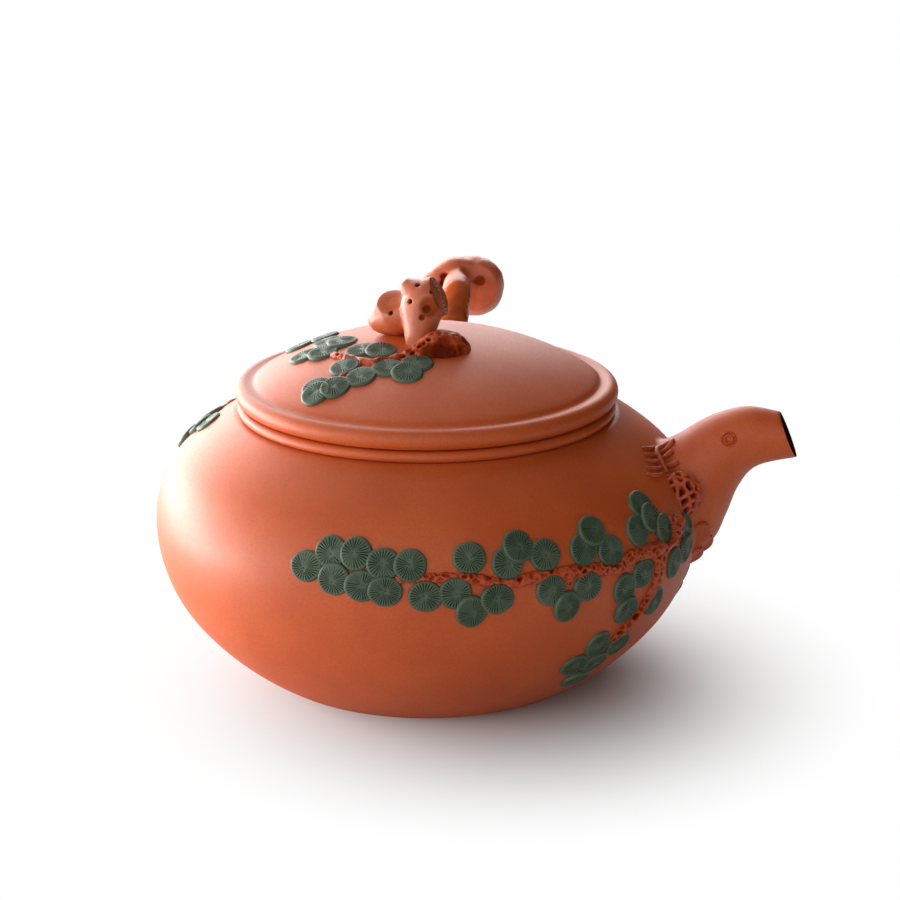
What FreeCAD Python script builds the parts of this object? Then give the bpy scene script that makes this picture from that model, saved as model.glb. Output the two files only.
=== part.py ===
import FreeCAD, Part
import math
import os

# Side-handled clay teapot with a pine branch in relief.
# Millimetres, +Z up, origin in the middle of the base, angles in degrees round the axis from +X.

V = FreeCAD.Vector
UP = V(0, 0, 1)
CENTRE = V(0, 0, 0)

# Wall of the pot: tangent arcs from the base over the belly to the neck
BASE_R = 33.0
BELLY_R = 56.0
BELLY_Z = 33.0
LOWER_BELLY_ARC = 31.0
LOWER_BELLY_TURN = 39.0
UPPER_BELLY_ARC = 20.0
UPPER_BELLY_TURN = 48.0
NECK_Z = 55.0
WALL = 3.0

# Base slab, and the height where the shoulder slab starts
BASE_T = 3.0
SHOULDER_Z = 49.0

# Mouth ring, and the step from its foot out to the neck
MOUTH_R = 32.5
BEAD_W = 5.4
BEAD_BULGE = 0.9
BEAD_H = 2.2
NECK_STEP = 1.3

# Lid: the lip's roll lies in from the edge of the mouth ring, then come the valley and the dome
SEAT_GAP = 0.2
MOUTH_CLEARANCE = 0.35
DOME_RISE = 14.2
DOME_SPHERE = 67.5
LID_T = 3.0
LIP_INSET = 0.7
LIP_W = 2.8
LIP_ROLL = 2.0
VALLEY_W = 1.5
VALLEY_DIP = 0.25
FLANGE_T = 2.8
FLANGE_DEPTH = 7.4
VENT_D = 2.0
VENT_AT = (-3.5, 5.0)

# Spout, root to tip: top and bottom edge of each section as (out from the belly, height), half width, wall
SPOUT_ANGLE = 6.0
SPOUT = (
    ((-14.0, 47.2), (-5.0, 22.6), 10.0, 4.0),
    ((-5.2, 50.8), (3.1, 29.0), 9.2, 3.6),
    ((-0.4, 54.0), (5.9, 35.0), 8.0, 3.0),
    ((4.2, 56.3), (8.2, 41.2), 6.6, 2.3),
    ((9.6, 57.6), (11.8, 45.5), 5.3, 1.7),
    ((15.8, 56.7), (19.6, 47.6), 4.3, 1.1),
)
BORE_RUN = 8.0

# Ball strainer over the tea hole, inside the wall
STRAINER_Z = 36.5
STRAINER_R = 11.5
STRAINER_T = 1.6
STRAINER_HOLE_D = 1.8
STRAINER_RINGS = ((0.0, 1), (17.0, 6), (34.0, 12), (51.0, 18))

# Handle: a branch that points away from the pot, with (out from the belly, height, radius) along its stem,
# its thick knotty end, and (out, aside, height, radius) along the twig on it
HANDLE_ANGLE = 99.5
STEM = (
    (-16, 44.0, 9.0), (-4, 48.5, 7.4), (6, 52.0, 5.4),
    (18, 54.4, 4.2), (32, 56.3, 3.6), (52, 57.4, 3.6),
)
BURL_AT = (55.6, 3.2, 55.2)
BURL_DEEP = 6.2
BURL_WIDE = 8.0
BURL_HIGH = 7.8
BURL_HOLLOW_AT = (50.2, 5.2, 57.6)
BURL_HOLLOW_R = 1.7
TWIG = ((54.4, 2.2, 59.4, 3.4), (53.4, -1.6, 59.4, 3.5), (52.2, -5.0, 57.6, 3.3), (50.6, -9.0, 54.8, 2.7))

# Pressed needle pads: one disc of a tuft, and the tufts as (angle, height) round the pot
PAD_R = 3.15
PAD_H = 0.9
PAD_EDGE = 0.35
PAD_SINK = 1.2
PAD_STEP = 0.13
TUFTS = {
    "tuft_far": (
        (-100, 39), (-95.3, 42), (-90, 42), (-94, 37.3),
        (-88.6, 36.5), (-84.5, 40.6), (-84, 35.8), (-79.3, 40.5),
    ),
    "tuft_middle": ((-76.4, 35), (-70.7, 35.5), (-67.7, 31.8), (-62.7, 34)),
    "tuft_upper": ((-67.8, 41.6), (-60.3, 40.2), (-57.8, 42.8), (-52.4, 40.8)),
    "tuft_lower": ((-51.8, 34.3), (-48.2, 30.4), (-43.5, 33.5)),
    "tuft_high": ((-43.6, 40.4), (-40.5, 43.2), (-37, 39)),
    "tuft_top": ((-24, 44.6), (-28.2, 40.8), (-23, 42), (-19.6, 39)),
    "tuft_side": ((-33.7, 30.8), (-28.3, 32.6), (-32.4, 26), (-22.5, 25)),
    "tuft_bottom": ((-37.9, 19.6), (-42.1, 15.4), (-35.4, 14.2), (-37.9, 10.4), (-30.5, 17.6)),
    "tuft_spout": ((-8.4, 36), (-10, 32.2), (-16.1, 31.2)),
    "tuft_under": ((9, 21), (13, 18.5), (8, 16.5), (12, 13.5)),
    "tuft_back": ((-169.5, 51.2), (-174.5, 49.3), (-180, 50.2), (-184, 47.6), (-177, 46)),
}

# Branches in relief, as (angle, height, radius) along each
MAIN_BRANCH = (
    (-12.4, 39.0, 1.8), (-15, 37.6, 1.8), (-19, 36.3, 1.7), (-24, 36.1, 1.6), (-30, 36.9, 1.5),
    (-37, 35.8, 1.5), (-41, 36.3, 1.4), (-47, 37.0, 1.4), (-55, 37.0, 1.3), (-62, 36.8, 1.2),
    (-69, 38.2, 1.1), (-76, 38.3, 0.9), (-82, 38.2, 0.7),
)
LOWER_BRANCH = (
    (-22.3, 35.4, 1.4), (-23.1, 32.4, 1.3), (-23.8, 29.4, 1.2),
    (-26, 25.8, 1.1), (-29.4, 22.6, 1.0), (-33.5, 19.4, 0.8),
)
BACK_BRANCH = (
    (113, 47.5, 2.0), (128, 48.6, 1.7), (145, 48.0, 1.5),
    (160, 49.2, 1.2), (168, 49.0, 1.0), (174, 48.8, 0.8),
)

# Ornament on the spout root, as (out from the belly, aside, height) along the spout, and the way it faces
CONE_AT = (-3.0, -10.0, 41.2)
CONE_FACES = (0.5, -0.85, 0.1)
CONE_LONG = 5.5
CONE_WIDE = 4.5
CONE_HIGH = 2.4
KNOT_AT = (5.8, -5.8, 52.4)
KNOT_FACES = (0.02, -0.92, 0.4)
KNOT_R = 1.7
KNOT_HOLE_R = 0.8
KNOT_H = 0.6
NEEDLE_R = 0.45
NEEDLES = 5
NEEDLE_FIRST = (-8.5, 46.8)
NEEDLE_STEP = (2.2, 0.75)
NEEDLE_RUN = (-6.2, 1.2)
SCALE_PLACES = (
    ((0.6, -7.7, 33.1), (0.39, -0.85, -0.35)),
    ((1.3, -5.4, 30.1), (0.52, -0.64, -0.56)),
    ((-0.6, -5.6, 27.6), (0.5, -0.6, -0.6)),
)
SCALE_R = 2.5
SCALE_H = 0.8

# Knob: cut stub, rounded limb and bark root, as (x, y, height over the top of the dome, radius) along each
STUB = (
    (1.8, -9.4, -5.0, 2.2), (0.6, -8.2, 0.2, 3.0), (0.6, -6.9, 4.5, 4.1),
    (1.1, -5.9, 7.2, 4.6), (5.2, -5.5, 8.6, 3.8),
)
STUB_CUT_AT = (3.8, -4.8, 9.5)
STUB_CUT_FACES = (0.90, 0.13, 0.42)
LIMB = (
    (0.7, -5.6, 5.6, 3.7), (-1.8, -4.6, 4.9, 4.0), (-5.5, -4.0, 4.0, 4.6),
    (-7.6, -3.8, 3.2, 4.1), (-9.5, -3.8, 2.2, 2.9),
)
ROOT = (
    (9.6, -7.4, -2.2, 2.0), (8.6, -8.8, -2.0, 3.4), (6.6, -10.6, -1.4, 4.1),
    (4.0, -12.6, -1.1, 3.5), (1.2, -14.2, -1.9, 2.1), (-1.8, -15.6, -2.6, 1.0),
)

# Needle pads and twigs on the lid, as (angle, distance in from the dome's edge), and twig radius
LID_TUFTS = {
    "lid_tuft_back": ((176, 6.6), (172, 11.6), (-169, 14.2), (-158, 9.4), (-149.5, 12.8), (-157, 17.2)),
    "lid_tuft_inner": ((-130, 18), (-113, 19.5)),
    "lid_tuft_front": ((-122, 12), (-108, 10.2), (-98, 14), (-82, 16.2), (-86, 12.6)),
    "lid_tuft_edge": ((-123, 5), (-114.5, 6), (-120, 3.4)),
}
LID_TWIG = (
    (-96, 18.2, 0.9), (-106, 15.4, 1.0), (-118, 14.8, 1.0),
    (-132, 14.4, 0.9), (-146, 13.4, 0.8), (-156, 12.8, 0.7),
)
LID_SIDE_TWIG = ((-117, 15, 0.9), (-116.5, 11.4, 0.8), (-117.5, 7.4, 0.7))

# How far cutting bodies reach past what they cut
PAST = 5.0
PAD_COLUMN = 4.0


def turned(edges):
    """Solid turned round the axis from edges that start and end on it."""
    start = edges[0].Vertexes[0].Point
    end = edges[-1].Vertexes[-1].Point
    wire = Part.Wire(edges + [Part.makeLine(end, start)])
    return Part.Face(wire).revolve(CENTRE, UP, 360)


def flat(r, z):
    """Point of an outline, in the plane through the axis."""
    return V(r, 0, z)


def line(a, b):
    return Part.makeLine(a, b)


def arc(a, b, middle, radius):
    """Arc from a to b round the given middle, bulging away from it."""
    half = (a + b) * 0.5 - middle
    return Part.Arc(a, middle + half.normalize() * abs(radius), b).toShape()


class PotOutline:
    """Outline of the pot's wall: four tangent arcs, and the same arcs set in by the wall.

    The lowest and the highest arc are hollow where their radius comes out negative.
    """

    def __init__(self):
        down = math.radians(LOWER_BELLY_TURN)
        up = math.radians(UPPER_BELLY_TURN)
        self.middles = [None] * 4
        self.radii = [None, LOWER_BELLY_ARC, UPPER_BELLY_ARC, None]
        self.middles[1] = flat(BELLY_R - LOWER_BELLY_ARC, BELLY_Z)
        self.middles[2] = flat(BELLY_R - UPPER_BELLY_ARC, BELLY_Z)
        low_out, high_out = flat(math.cos(down), -math.sin(down)), flat(math.cos(up), math.sin(up))
        self.out = [None, low_out, flat(1, 0), high_out, None]
        low = self.middles[1] + low_out * LOWER_BELLY_ARC
        high = self.middles[2] + high_out * UPPER_BELLY_ARC
        ends = ((0, low, low_out, flat(BASE_R, 0)), (3, high, high_out, flat(NECK_R, NECK_Z)))
        for which, joint, out, far in ends:
            chord = far - joint
            self.radii[which] = -chord.dot(chord) / (2 * chord.dot(out))
            self.middles[which] = joint - out * self.radii[which]
        self.out[0] = (flat(BASE_R, 0) - self.middles[0]) / self.radii[0]
        self.out[4] = (flat(NECK_R, NECK_Z) - self.middles[3]) / self.radii[3]
        self.heights = [low.z, BELLY_Z, high.z]

    def joint(self, which, inset=0.0):
        """Point where arc number which starts, counted from the base."""
        near = min(which, 3)
        return self.middles[near] + self.out[which] * (self.radii[near] - inset)

    def at_height(self, z, inset=0.0):
        """Point of the outline at a height, and the way it faces there."""
        which = sum(z > limit for limit in self.heights)
        middle = self.middles[which]
        radius = self.radii[which] - inset
        reach = math.copysign(math.sqrt(radius * radius - (z - middle.z) ** 2), radius)
        point = flat(middle.x + reach, z)
        return point, (point - middle) / radius

    def edges(self, start, inset=0.0):
        """Edges from a start point on the lowest arc up to the neck."""
        points = [start] + [self.joint(i, inset) for i in (1, 2, 3, 4)]
        return [arc(points[i], points[i + 1], self.middles[i], self.radii[i] - inset) for i in range(4)]


BEAD_FOOT_R = MOUTH_R + BEAD_W
NECK_R = BEAD_FOOT_R + NECK_STEP
POT = PotOutline()
MOUTH_Z = NECK_Z + BEAD_H
LID_Z = MOUTH_Z + SEAT_GAP
LIP_R = BEAD_FOOT_R - LIP_INSET
DOME_R = LIP_R - LIP_W
DOME_TOP = LID_Z + DOME_RISE
DOME_MIDDLE = V(0, 0, DOME_TOP - DOME_SPHERE)
FLANGE_R = MOUTH_R - MOUTH_CLEARANCE


def filled_pot():
    """The pot's outside as one full solid up to the neck, for seating what lies on it."""
    base = flat(BASE_R, 0)
    edges = [line(CENTRE, base)] + POT.edges(base)
    return turned(edges + [line(flat(NECK_R, NECK_Z), flat(0, NECK_Z))])


def cavity():
    """The tea space, from the floor up through the mouth."""
    floor = POT.at_height(BASE_T, WALL)[0]
    neck = POT.joint(4, WALL)
    edges = [line(flat(0, BASE_T), floor)] + POT.edges(floor, WALL)
    edges.append(line(neck, flat(MOUTH_R, neck.z)))
    edges.append(line(flat(MOUTH_R, neck.z), flat(MOUTH_R, NECK_Z + PAST)))
    edges.append(line(flat(MOUTH_R, NECK_Z + PAST), flat(0, NECK_Z + PAST)))
    return turned(edges)


def slab(z_low, z_high):
    """Wide flat disc between two heights."""
    return Part.makeCylinder(2 * BELLY_R, z_high - z_low, V(0, 0, z_low), UP)


def round_on(angle, point):
    """Turns an outline point round the axis."""
    turn = math.radians(angle)
    return V(point.x * math.cos(turn), point.x * math.sin(turn), point.z)


def on_pot(angle, z):
    """Place on the pot's outside and the way the surface faces there."""
    point, out = POT.at_height(z)
    return round_on(angle, point), round_on(angle, out)


def dome_height(reach):
    return DOME_MIDDLE.z + math.sqrt(DOME_SPHERE ** 2 - reach ** 2)


def on_lid(angle, inset):
    """Place on the lid's dome, so far in from its edge, and the way the surface faces there."""
    reach = DOME_R - inset
    point = round_on(angle, flat(reach, dome_height(reach)))
    return point, (point - DOME_MIDDLE).normalize()


def level_way(angle):
    turn = math.radians(angle)
    return V(math.cos(turn), math.sin(turn), 0)


def by_spout(out, aside, rise):
    """Vector given along the spout, to its left and up."""
    return level_way(SPOUT_ANGLE) * out + level_way(SPOUT_ANGLE + 90) * aside + UP * rise


def by_belly(out, aside, z):
    """Place on the spout's side, counted out from the belly."""
    return by_spout(BELLY_R + out, aside, z)


def over_dome(x, y, rise):
    """Place over the lid, counted up from the top of its dome."""
    return V(x, y, DOME_TOP + rise)


def oval(middle, tall, wide):
    """Closed oval wire from its two half axes: a unit circle stretched and set in place."""
    along = tall.cross(wide).normalize()
    place = FreeCAD.Matrix(tall.x, wide.x, along.x, middle.x,
                           tall.y, wide.y, along.y, middle.y,
                           tall.z, wide.z, along.z, middle.z,
                           0, 0, 0, 1)
    return Part.Wire(Part.Circle(CENTRE, UP, 1).toShape().transformGeometry(place).Edges)


def bar(points, radii, steady):
    """Round bar through the points, each section square to the run of the bar there."""
    wires = []
    last = len(points) - 1
    for i, point in enumerate(points):
        run = (points[min(i + 1, last)] - points[max(i - 1, 0)]).normalize()
        lean = steady[i] if isinstance(steady, list) else steady
        tall = (lean - run * lean.dot(run)).normalize()
        wide = run.cross(tall)
        wires.append(oval(point, tall * radii[i], wide * radii[i]))
    return Part.makeLoft(wires, True, False)


def relief(places, surface):
    """Bar that runs along a surface, half sunk in it."""
    spots = [surface(angle, along) for angle, along, radius in places]
    return bar([spot[0] for spot in spots], [place[2] for place in places], [spot[1] for spot in spots])


def cut_near(shape, tools):
    """Cuts a shape by those of the tools that reach it."""
    return shape.cut([tool for tool in tools if tool.BoundBox.intersect(shape.BoundBox)])


def column(spot, radius, height, sink):
    """Cylinder on a surface, sunk below its spot so that it can be cut to the surface."""
    point, out = spot
    return Part.makeCylinder(radius, height + sink, point - out * sink, out)


def pad(spot, height):
    """One needle pad: a disc with an eased edge that faces the way its spot does."""
    point, out = spot
    disc = column(spot, PAD_R, height, PAD_SINK)
    rim = [edge for edge in disc.Edges if abs((edge.CenterOfMass - point).dot(out) - height) < PAD_EDGE / 2]
    return disc.makeFillet(PAD_EDGE, rim)


def tuft(spots, seat):
    """Pads pressed together on a seat, in three layers that lap over each other like scales."""
    pads = [pad(spot, PAD_H + PAD_STEP * (i % 3)) for i, spot in enumerate(spots)]
    return cut_near(pads[0].multiFuse(pads[1:]), seat)


def pad_room(spots):
    """Columns over the pads, which clear away what a branch would push through them."""
    return [column(spot, PAD_R, PAD_COLUMN, PAD_SINK) for spot in spots]


def handle_place(out, aside, z):
    """Place counted out from the belly along the handle, to its right and up."""
    return level_way(HANDLE_ANGLE) * (BELLY_R + out) + level_way(HANDLE_ANGLE - 90) * aside + UP * z


def handle_bar(places):
    """Round bar through places given along the handle, with its sections steady along the handle."""
    points = [handle_place(*place[:3]) for place in places]
    return bar(points, [place[3] for place in places], level_way(HANDLE_ANGLE))


def spout_sections(inset):
    """Ovals of the spout from root to tip, set in by a share of each section's wall."""
    wires = []
    for top, bottom, half_width, wall in SPOUT:
        high, low = by_belly(top[0], 0, top[1]), by_belly(bottom[0], 0, bottom[1])
        half = (high - low) * 0.5
        tall = half.normalize() * ((high - low).Length / 2 - wall * inset)
        wires.append(((high + low) * 0.5, tall, by_spout(0, half_width - wall * inset, 0)))
    return wires


def spout_solid():
    return Part.makeLoft([oval(*section) for section in spout_sections(0)], True, False)


def spout_bore():
    """Tea way through the spout, open past the tip and into the tea space."""
    sections = spout_sections(1)
    first, last = sections[0], sections[-1]
    run_in = (sections[1][0] - first[0]).normalize()
    run_out = last[1].cross(last[2]).normalize()
    run_out = run_out if run_out.dot(level_way(SPOUT_ANGLE)) > 0 else run_out * -1
    inner = (first[0] - run_in * BORE_RUN, first[1], first[2])
    outer = (last[0] + run_out * BORE_RUN, last[1], last[2])
    ovals = [oval(*section) for section in sections]
    through = Part.makeLoft(ovals, True, False)
    way_in = Part.makeLoft([oval(*inner), ovals[0]], True, True)
    way_out = Part.makeLoft([ovals[-1], oval(*outer)], True, True)
    return through.multiFuse([way_in, way_out])


def strainer(space):
    """Perforated half ball that stands on the inside of the wall over the tea hole."""
    spot, out = (round_on(SPOUT_ANGLE, part) for part in POT.at_height(STRAINER_Z, WALL))
    ball = Part.makeSphere(STRAINER_R, spot, out)
    shell = ball.cut(Part.makeSphere(STRAINER_R - STRAINER_T, spot, out)).common(space)
    side = level_way(SPOUT_ANGLE + 90)
    rise = out.cross(side)
    holes = []
    for ring, (tilt, count) in enumerate(STRAINER_RINGS):
        for i in range(count):
            round_angle = 2 * math.pi * (i + 0.5 * (ring % 2 == 0)) / count
            around = side * math.cos(round_angle) + rise * math.sin(round_angle)
            way = out * -math.cos(math.radians(tilt)) + around * math.sin(math.radians(tilt))
            start = spot + way * (STRAINER_R - 2 * STRAINER_T)
            holes.append(Part.makeCylinder(STRAINER_HOLE_D / 2, 4 * STRAINER_T, start, way))
    return shell.cut(holes)


def mouth_ring():
    """Bead that the lid rests on."""
    foot, top = flat(BEAD_FOOT_R, NECK_Z), flat(BEAD_FOOT_R, MOUTH_Z)
    bulge = Part.Arc(foot, flat(BEAD_FOOT_R + BEAD_BULGE, (NECK_Z + MOUTH_Z) / 2), top).toShape()
    inner_top, inner_foot = flat(MOUTH_R, MOUTH_Z), flat(MOUTH_R, NECK_Z)
    wire = Part.Wire([bulge, line(top, inner_top), line(inner_top, inner_foot), line(inner_foot, foot)])
    return Part.Face(wire).revolve(CENTRE, UP, 360)


def lid_plate():
    """Shallow dome of even thickness, with its air hole."""
    column = Part.makeCylinder(DOME_R, DOME_TOP + PAST, CENTRE, UP)
    outside = Part.makeSphere(DOME_SPHERE, DOME_MIDDLE)
    inside = Part.makeSphere(DOME_SPHERE - LID_T, DOME_MIDDLE)
    vent = Part.makeCylinder(VENT_D / 2, DOME_TOP + PAST, V(*VENT_AT, 0), UP)
    above = slab(LID_Z, DOME_TOP + PAST)
    return outside.cut(inside).common(column).common(above).cut(vent)


def lid_lip():
    """Rolled bead round the lid plate, with a shallow valley up to the dome."""
    under, roll = flat(LIP_R, LID_Z), flat(LIP_R, LID_Z + LIP_ROLL)
    over = roll + UP * LIP_ROLL
    edge, inner = flat(DOME_R, dome_height(DOME_R)), flat(DOME_R, LID_Z)
    valley = flat(LIP_R - VALLEY_W, over.z - VALLEY_DIP)
    bead = Part.Arc(under, roll + V(LIP_ROLL, 0, 0), over).toShape()
    sweep = Part.Arc(over, valley, edge).toShape()
    wire = Part.Wire([bead, sweep, line(edge, inner), line(inner, under)])
    return Part.Face(wire).revolve(CENTRE, UP, 360)


def lid_flange():
    """Ring inside the mouth, closed on top by the underside of the lid plate."""
    foot = LID_Z - FLANGE_DEPTH
    height = DOME_TOP - foot
    ring = Part.makeCylinder(FLANGE_R, height, V(0, 0, foot), UP)
    ring = ring.cut(Part.makeCylinder(FLANGE_R - FLANGE_T, height, V(0, 0, foot), UP))
    return ring.common(Part.makeSphere(DOME_SPHERE - LID_T, DOME_MIDDLE))


def knob_bar(places, steady):
    return bar([over_dome(*place[:3]) for place in places], [place[3] for place in places], steady)


def egg(deep, wide, high, middle, faces):
    """Stretched ball with its deep axis turned to face a given way."""
    stretch = FreeCAD.Matrix()
    stretch.scale(deep, wide, high)
    ball = Part.makeSphere(1.0).transformGeometry(stretch)
    ball.Placement = FreeCAD.Placement(middle, FreeCAD.Rotation(V(1, 0, 0), faces))
    return ball


def needle_spray():
    """Row of fine needles pressed on the shoulder beside the spout."""
    needles = []
    for i in range(NEEDLES):
        angle = NEEDLE_FIRST[0] + i * NEEDLE_STEP[0]
        z = NEEDLE_FIRST[1] + i * NEEDLE_STEP[1]
        start = on_pot(angle, z)[0]
        run = on_pot(angle + NEEDLE_RUN[0], z + NEEDLE_RUN[1])[0] - start
        needles.append(Part.makeCylinder(NEEDLE_R, run.Length, start, run))
    return Part.makeCompound(needles)


def build():
    """All pieces by name, each cut to what it sits on."""
    pieces = {}
    core = filled_pot()
    space = cavity()
    bore = spout_bore()

    shell = core.cut(space)
    pieces["base_slab"] = shell.common(slab(0, BASE_T))
    pieces["pot_wall"] = shell.common(slab(BASE_T, SHOULDER_Z)).cut(bore)
    pieces["shoulder_slab"] = shell.common(slab(SHOULDER_Z, NECK_Z))
    pieces["mouth_ring"] = mouth_ring()
    spout_full = spout_solid()
    pieces["spout"] = spout_full.cut([core, bore])
    pieces["strainer"] = strainer(space)

    stem = bar([handle_place(out, 0, z) for out, z, radius in STEM], [place[2] for place in STEM], UP)
    burl = egg(BURL_DEEP, BURL_WIDE, BURL_HIGH, handle_place(*BURL_AT), level_way(HANDLE_ANGLE))
    twig = handle_bar(TWIG)
    hollow = Part.makeSphere(BURL_HOLLOW_R, handle_place(*BURL_HOLLOW_AT))
    pieces["handle_stem"] = stem.cut([core, burl])
    pieces["handle_burl"] = burl.cut(hollow)
    pieces["handle_twig"] = twig.cut([burl, stem])

    seat = [core, spout_full, stem]
    room = []
    for name, places in TUFTS.items():
        spots = [on_pot(*place) for place in places]
        pieces[name] = tuft(spots, seat)
        room += pad_room(spots)
    seat += room
    lower = relief(LOWER_BRANCH, on_pot)
    main = relief(MAIN_BRANCH, on_pot)
    pieces["pine_branch"] = cut_near(main, seat)
    pieces["lower_branch"] = cut_near(lower, seat + [main])
    pieces["back_branch"] = cut_near(relief(BACK_BRANCH, on_pot), seat)

    cone = egg(CONE_HIGH, CONE_WIDE, CONE_LONG, by_belly(*CONE_AT), by_spout(*CONE_FACES))
    knot_spot = (by_belly(*KNOT_AT), by_spout(*KNOT_FACES).normalize())
    knot = column(knot_spot, KNOT_R, KNOT_H, PAST / 2).cut(column(knot_spot, KNOT_HOLE_R, PAST, PAST))
    scale_spots = [(by_belly(*place), by_spout(*faces).normalize()) for place, faces in SCALE_PLACES]
    scales = [column(spot, SCALE_R, SCALE_H, PAST) for spot in scale_spots]
    pieces["pine_cone"] = cut_near(cone, seat + [main])
    pieces["spout_knot"] = cut_near(knot, seat)
    pieces["bark_scales"] = cut_near(scales[0].multiFuse(scales[1:]), seat + [main, lower, cone])
    pieces["needle_spray"] = cut_near(needle_spray(), seat + [main, cone])

    plate = lid_plate()
    dome = Part.makeSphere(DOME_SPHERE, DOME_MIDDLE)
    pieces["lid_plate"] = plate
    pieces["lid_lip"] = lid_lip()
    pieces["lid_flange"] = lid_flange()
    stub = knob_bar(STUB, V(1, 0, 0))
    cut_out = V(*STUB_CUT_FACES).normalize()
    stub = stub.cut(Part.makeCylinder(4 * PAST, 4 * PAST, over_dome(*STUB_CUT_AT), cut_out))
    limb = knob_bar(LIMB, V(0, 1, 0))
    root = knob_bar(ROOT, UP)
    pieces["knob_stub"] = stub.cut(dome)
    pieces["knob_limb"] = limb.cut([dome, stub])
    pieces["knob_root"] = root.cut([dome, stub, limb])

    lid_seat = [dome, stub, limb, root]
    lid_room = []
    for name, places in LID_TUFTS.items():
        spots = [on_lid(*place) for place in places]
        pieces[name] = tuft(spots, lid_seat)
        lid_room += pad_room(spots)
    twigs = relief(LID_TWIG, on_lid).fuse(relief(LID_SIDE_TWIG, on_lid))
    pieces["lid_twigs"] = cut_near(twigs, lid_seat + lid_room)
    return pieces


os.makedirs("parts", exist_ok=True)
for name, shape in build().items():
    shape.exportStep("parts/" + name + ".step")
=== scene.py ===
import math
import random

import bmesh
import bpy
from mathutils import Matrix, Vector, bvhtree, kdtree, noise


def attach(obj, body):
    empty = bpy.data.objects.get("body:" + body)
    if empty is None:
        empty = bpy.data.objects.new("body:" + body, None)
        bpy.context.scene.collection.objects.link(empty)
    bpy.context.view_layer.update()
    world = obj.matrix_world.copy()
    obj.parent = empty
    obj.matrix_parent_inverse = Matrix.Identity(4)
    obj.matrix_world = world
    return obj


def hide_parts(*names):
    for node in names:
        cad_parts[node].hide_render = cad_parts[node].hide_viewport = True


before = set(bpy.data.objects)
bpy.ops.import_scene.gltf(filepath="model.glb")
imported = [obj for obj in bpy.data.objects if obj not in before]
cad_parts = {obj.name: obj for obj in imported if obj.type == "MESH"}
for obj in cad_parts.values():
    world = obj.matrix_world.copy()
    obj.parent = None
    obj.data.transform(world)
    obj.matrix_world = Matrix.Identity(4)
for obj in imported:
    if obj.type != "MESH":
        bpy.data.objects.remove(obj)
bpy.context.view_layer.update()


# Pot shell: base slab, beaten wall, shoulder slab and mouth ring, which are luted together with slip
# and burnished until no seam shows. Fine red stoneware, fired without glaze, satin with a sandy grain.
BASE_R, BASE_T, BASE_EASE = 0.033, 0.003, 0.0011
BELLY_R, BELLY_Z = 0.056, 0.033
LOWER_ARC, LOWER_TURN = 0.031, math.radians(39)
UPPER_ARC, UPPER_TURN = 0.020, math.radians(48)
NECK = Vector((0.0392, 0.0550))
WALL = 0.003
MOUTH_R, BEAD_FOOT_R, BEAD_R, MOUTH_Z = 0.0325, 0.0379, 0.0388, 0.0572
TURN_STEPS, ARC_STEPS, EASE_STEPS, BEAD_STEPS, RIM_STEPS = 288, 18, 5, 10, 4
LEAST_OUT = 0.3
RED_DARK, RED_MID, RED_PALE = (0.32, 0.036, 0.004, 1), (0.50, 0.073, 0.009, 1), (0.56, 0.096, 0.015, 1)
SAND_PALE, SAND_DARK = (0.60, 0.22, 0.09, 1), (0.16, 0.020, 0.006, 1)
CLOUD_SCALE, GRAIN_SCALE, GRAIN_HIGH = 70.0, 3400.0, 0.00012
SPECKS = (("Pale specks", 2200.0, 0.90), ("Dark specks", 1700.0, 0.92))  # output, scale, share without one
SPECK_SOFT, SPECK_EDGE, SPECK_CORE = 0.03, 0.42, 0.18


def way(angle):
    return Vector((math.cos(angle), math.sin(angle)))


def arc(middle, radius, start, end, steps):
    """Points of an arc in the outline's plane, both ends included."""
    return [middle + way(start + (end - start) * i / steps) * radius for i in range(steps + 1)]


def closing_arc(joint, out, far):
    """Middle and radius of the arc that leaves a joint smoothly and ends at a far point."""
    chord = far - joint
    radius = -chord.dot(chord) / (2 * chord.dot(out))
    return joint - out * radius, radius


def wall_arcs():
    """The four tangent arcs of the wall, from the base to the neck, as (middle, radius, start, end)."""
    low_middle, high_middle = Vector((BELLY_R - LOWER_ARC, BELLY_Z)), Vector((BELLY_R - UPPER_ARC, BELLY_Z))
    low_out, high_out = way(-LOWER_TURN), way(UPPER_TURN)
    base = Vector((BASE_R, 0))
    foot_middle, foot_r = closing_arc(low_middle + low_out * LOWER_ARC, low_out, base)
    top_middle, top_r = closing_arc(high_middle + high_out * UPPER_ARC, high_out, NECK)
    foot_start = math.atan2(*reversed(base - foot_middle))
    top_end = math.atan2(*reversed(NECK - top_middle))
    return [(foot_middle, foot_r, foot_start, -LOWER_TURN), (low_middle, LOWER_ARC, -LOWER_TURN, 0),
            (high_middle, UPPER_ARC, 0, UPPER_TURN), (top_middle, top_r, UPPER_TURN, top_end)]


WALL_ARCS = wall_arcs()


def wall_outline(inset):
    points = []
    for middle, radius, start, end in WALL_ARCS:
        points += arc(middle, radius - inset, start, end, ARC_STEPS)[:-1]
    middle, radius, start, end = WALL_ARCS[-1]
    return points + [middle + way(end) * (radius - inset)]


def wall_at(z, inset=0.0):
    """Radius of the wall at a height, the way it faces there in the outline's plane, and its upright bend."""
    tops = [middle.y + radius * math.sin(end) for middle, radius, start, end in WALL_ARCS[:-1]]
    middle, radius, start, end = WALL_ARCS[sum(z > top for top in tops)]
    reach = radius - inset
    across = math.sqrt(max(reach * reach - (z - middle.y) ** 2, 0.0))
    return middle.x + across, Vector((across, z - middle.y)).normalized(), reach


def on_pot(angle, z):
    """Place on the pot, the way it faces, and its bend round and up, for an angle in degrees."""
    radius, out, bend = wall_at(z)
    turn = math.radians(angle)
    place = Vector((radius * math.cos(turn), radius * math.sin(turn), z))
    faces = Vector((out.x * math.cos(turn), out.x * math.sin(turn), out.y))
    return place, faces, (radius / max(out.x, LEAST_OUT), bend)


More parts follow.
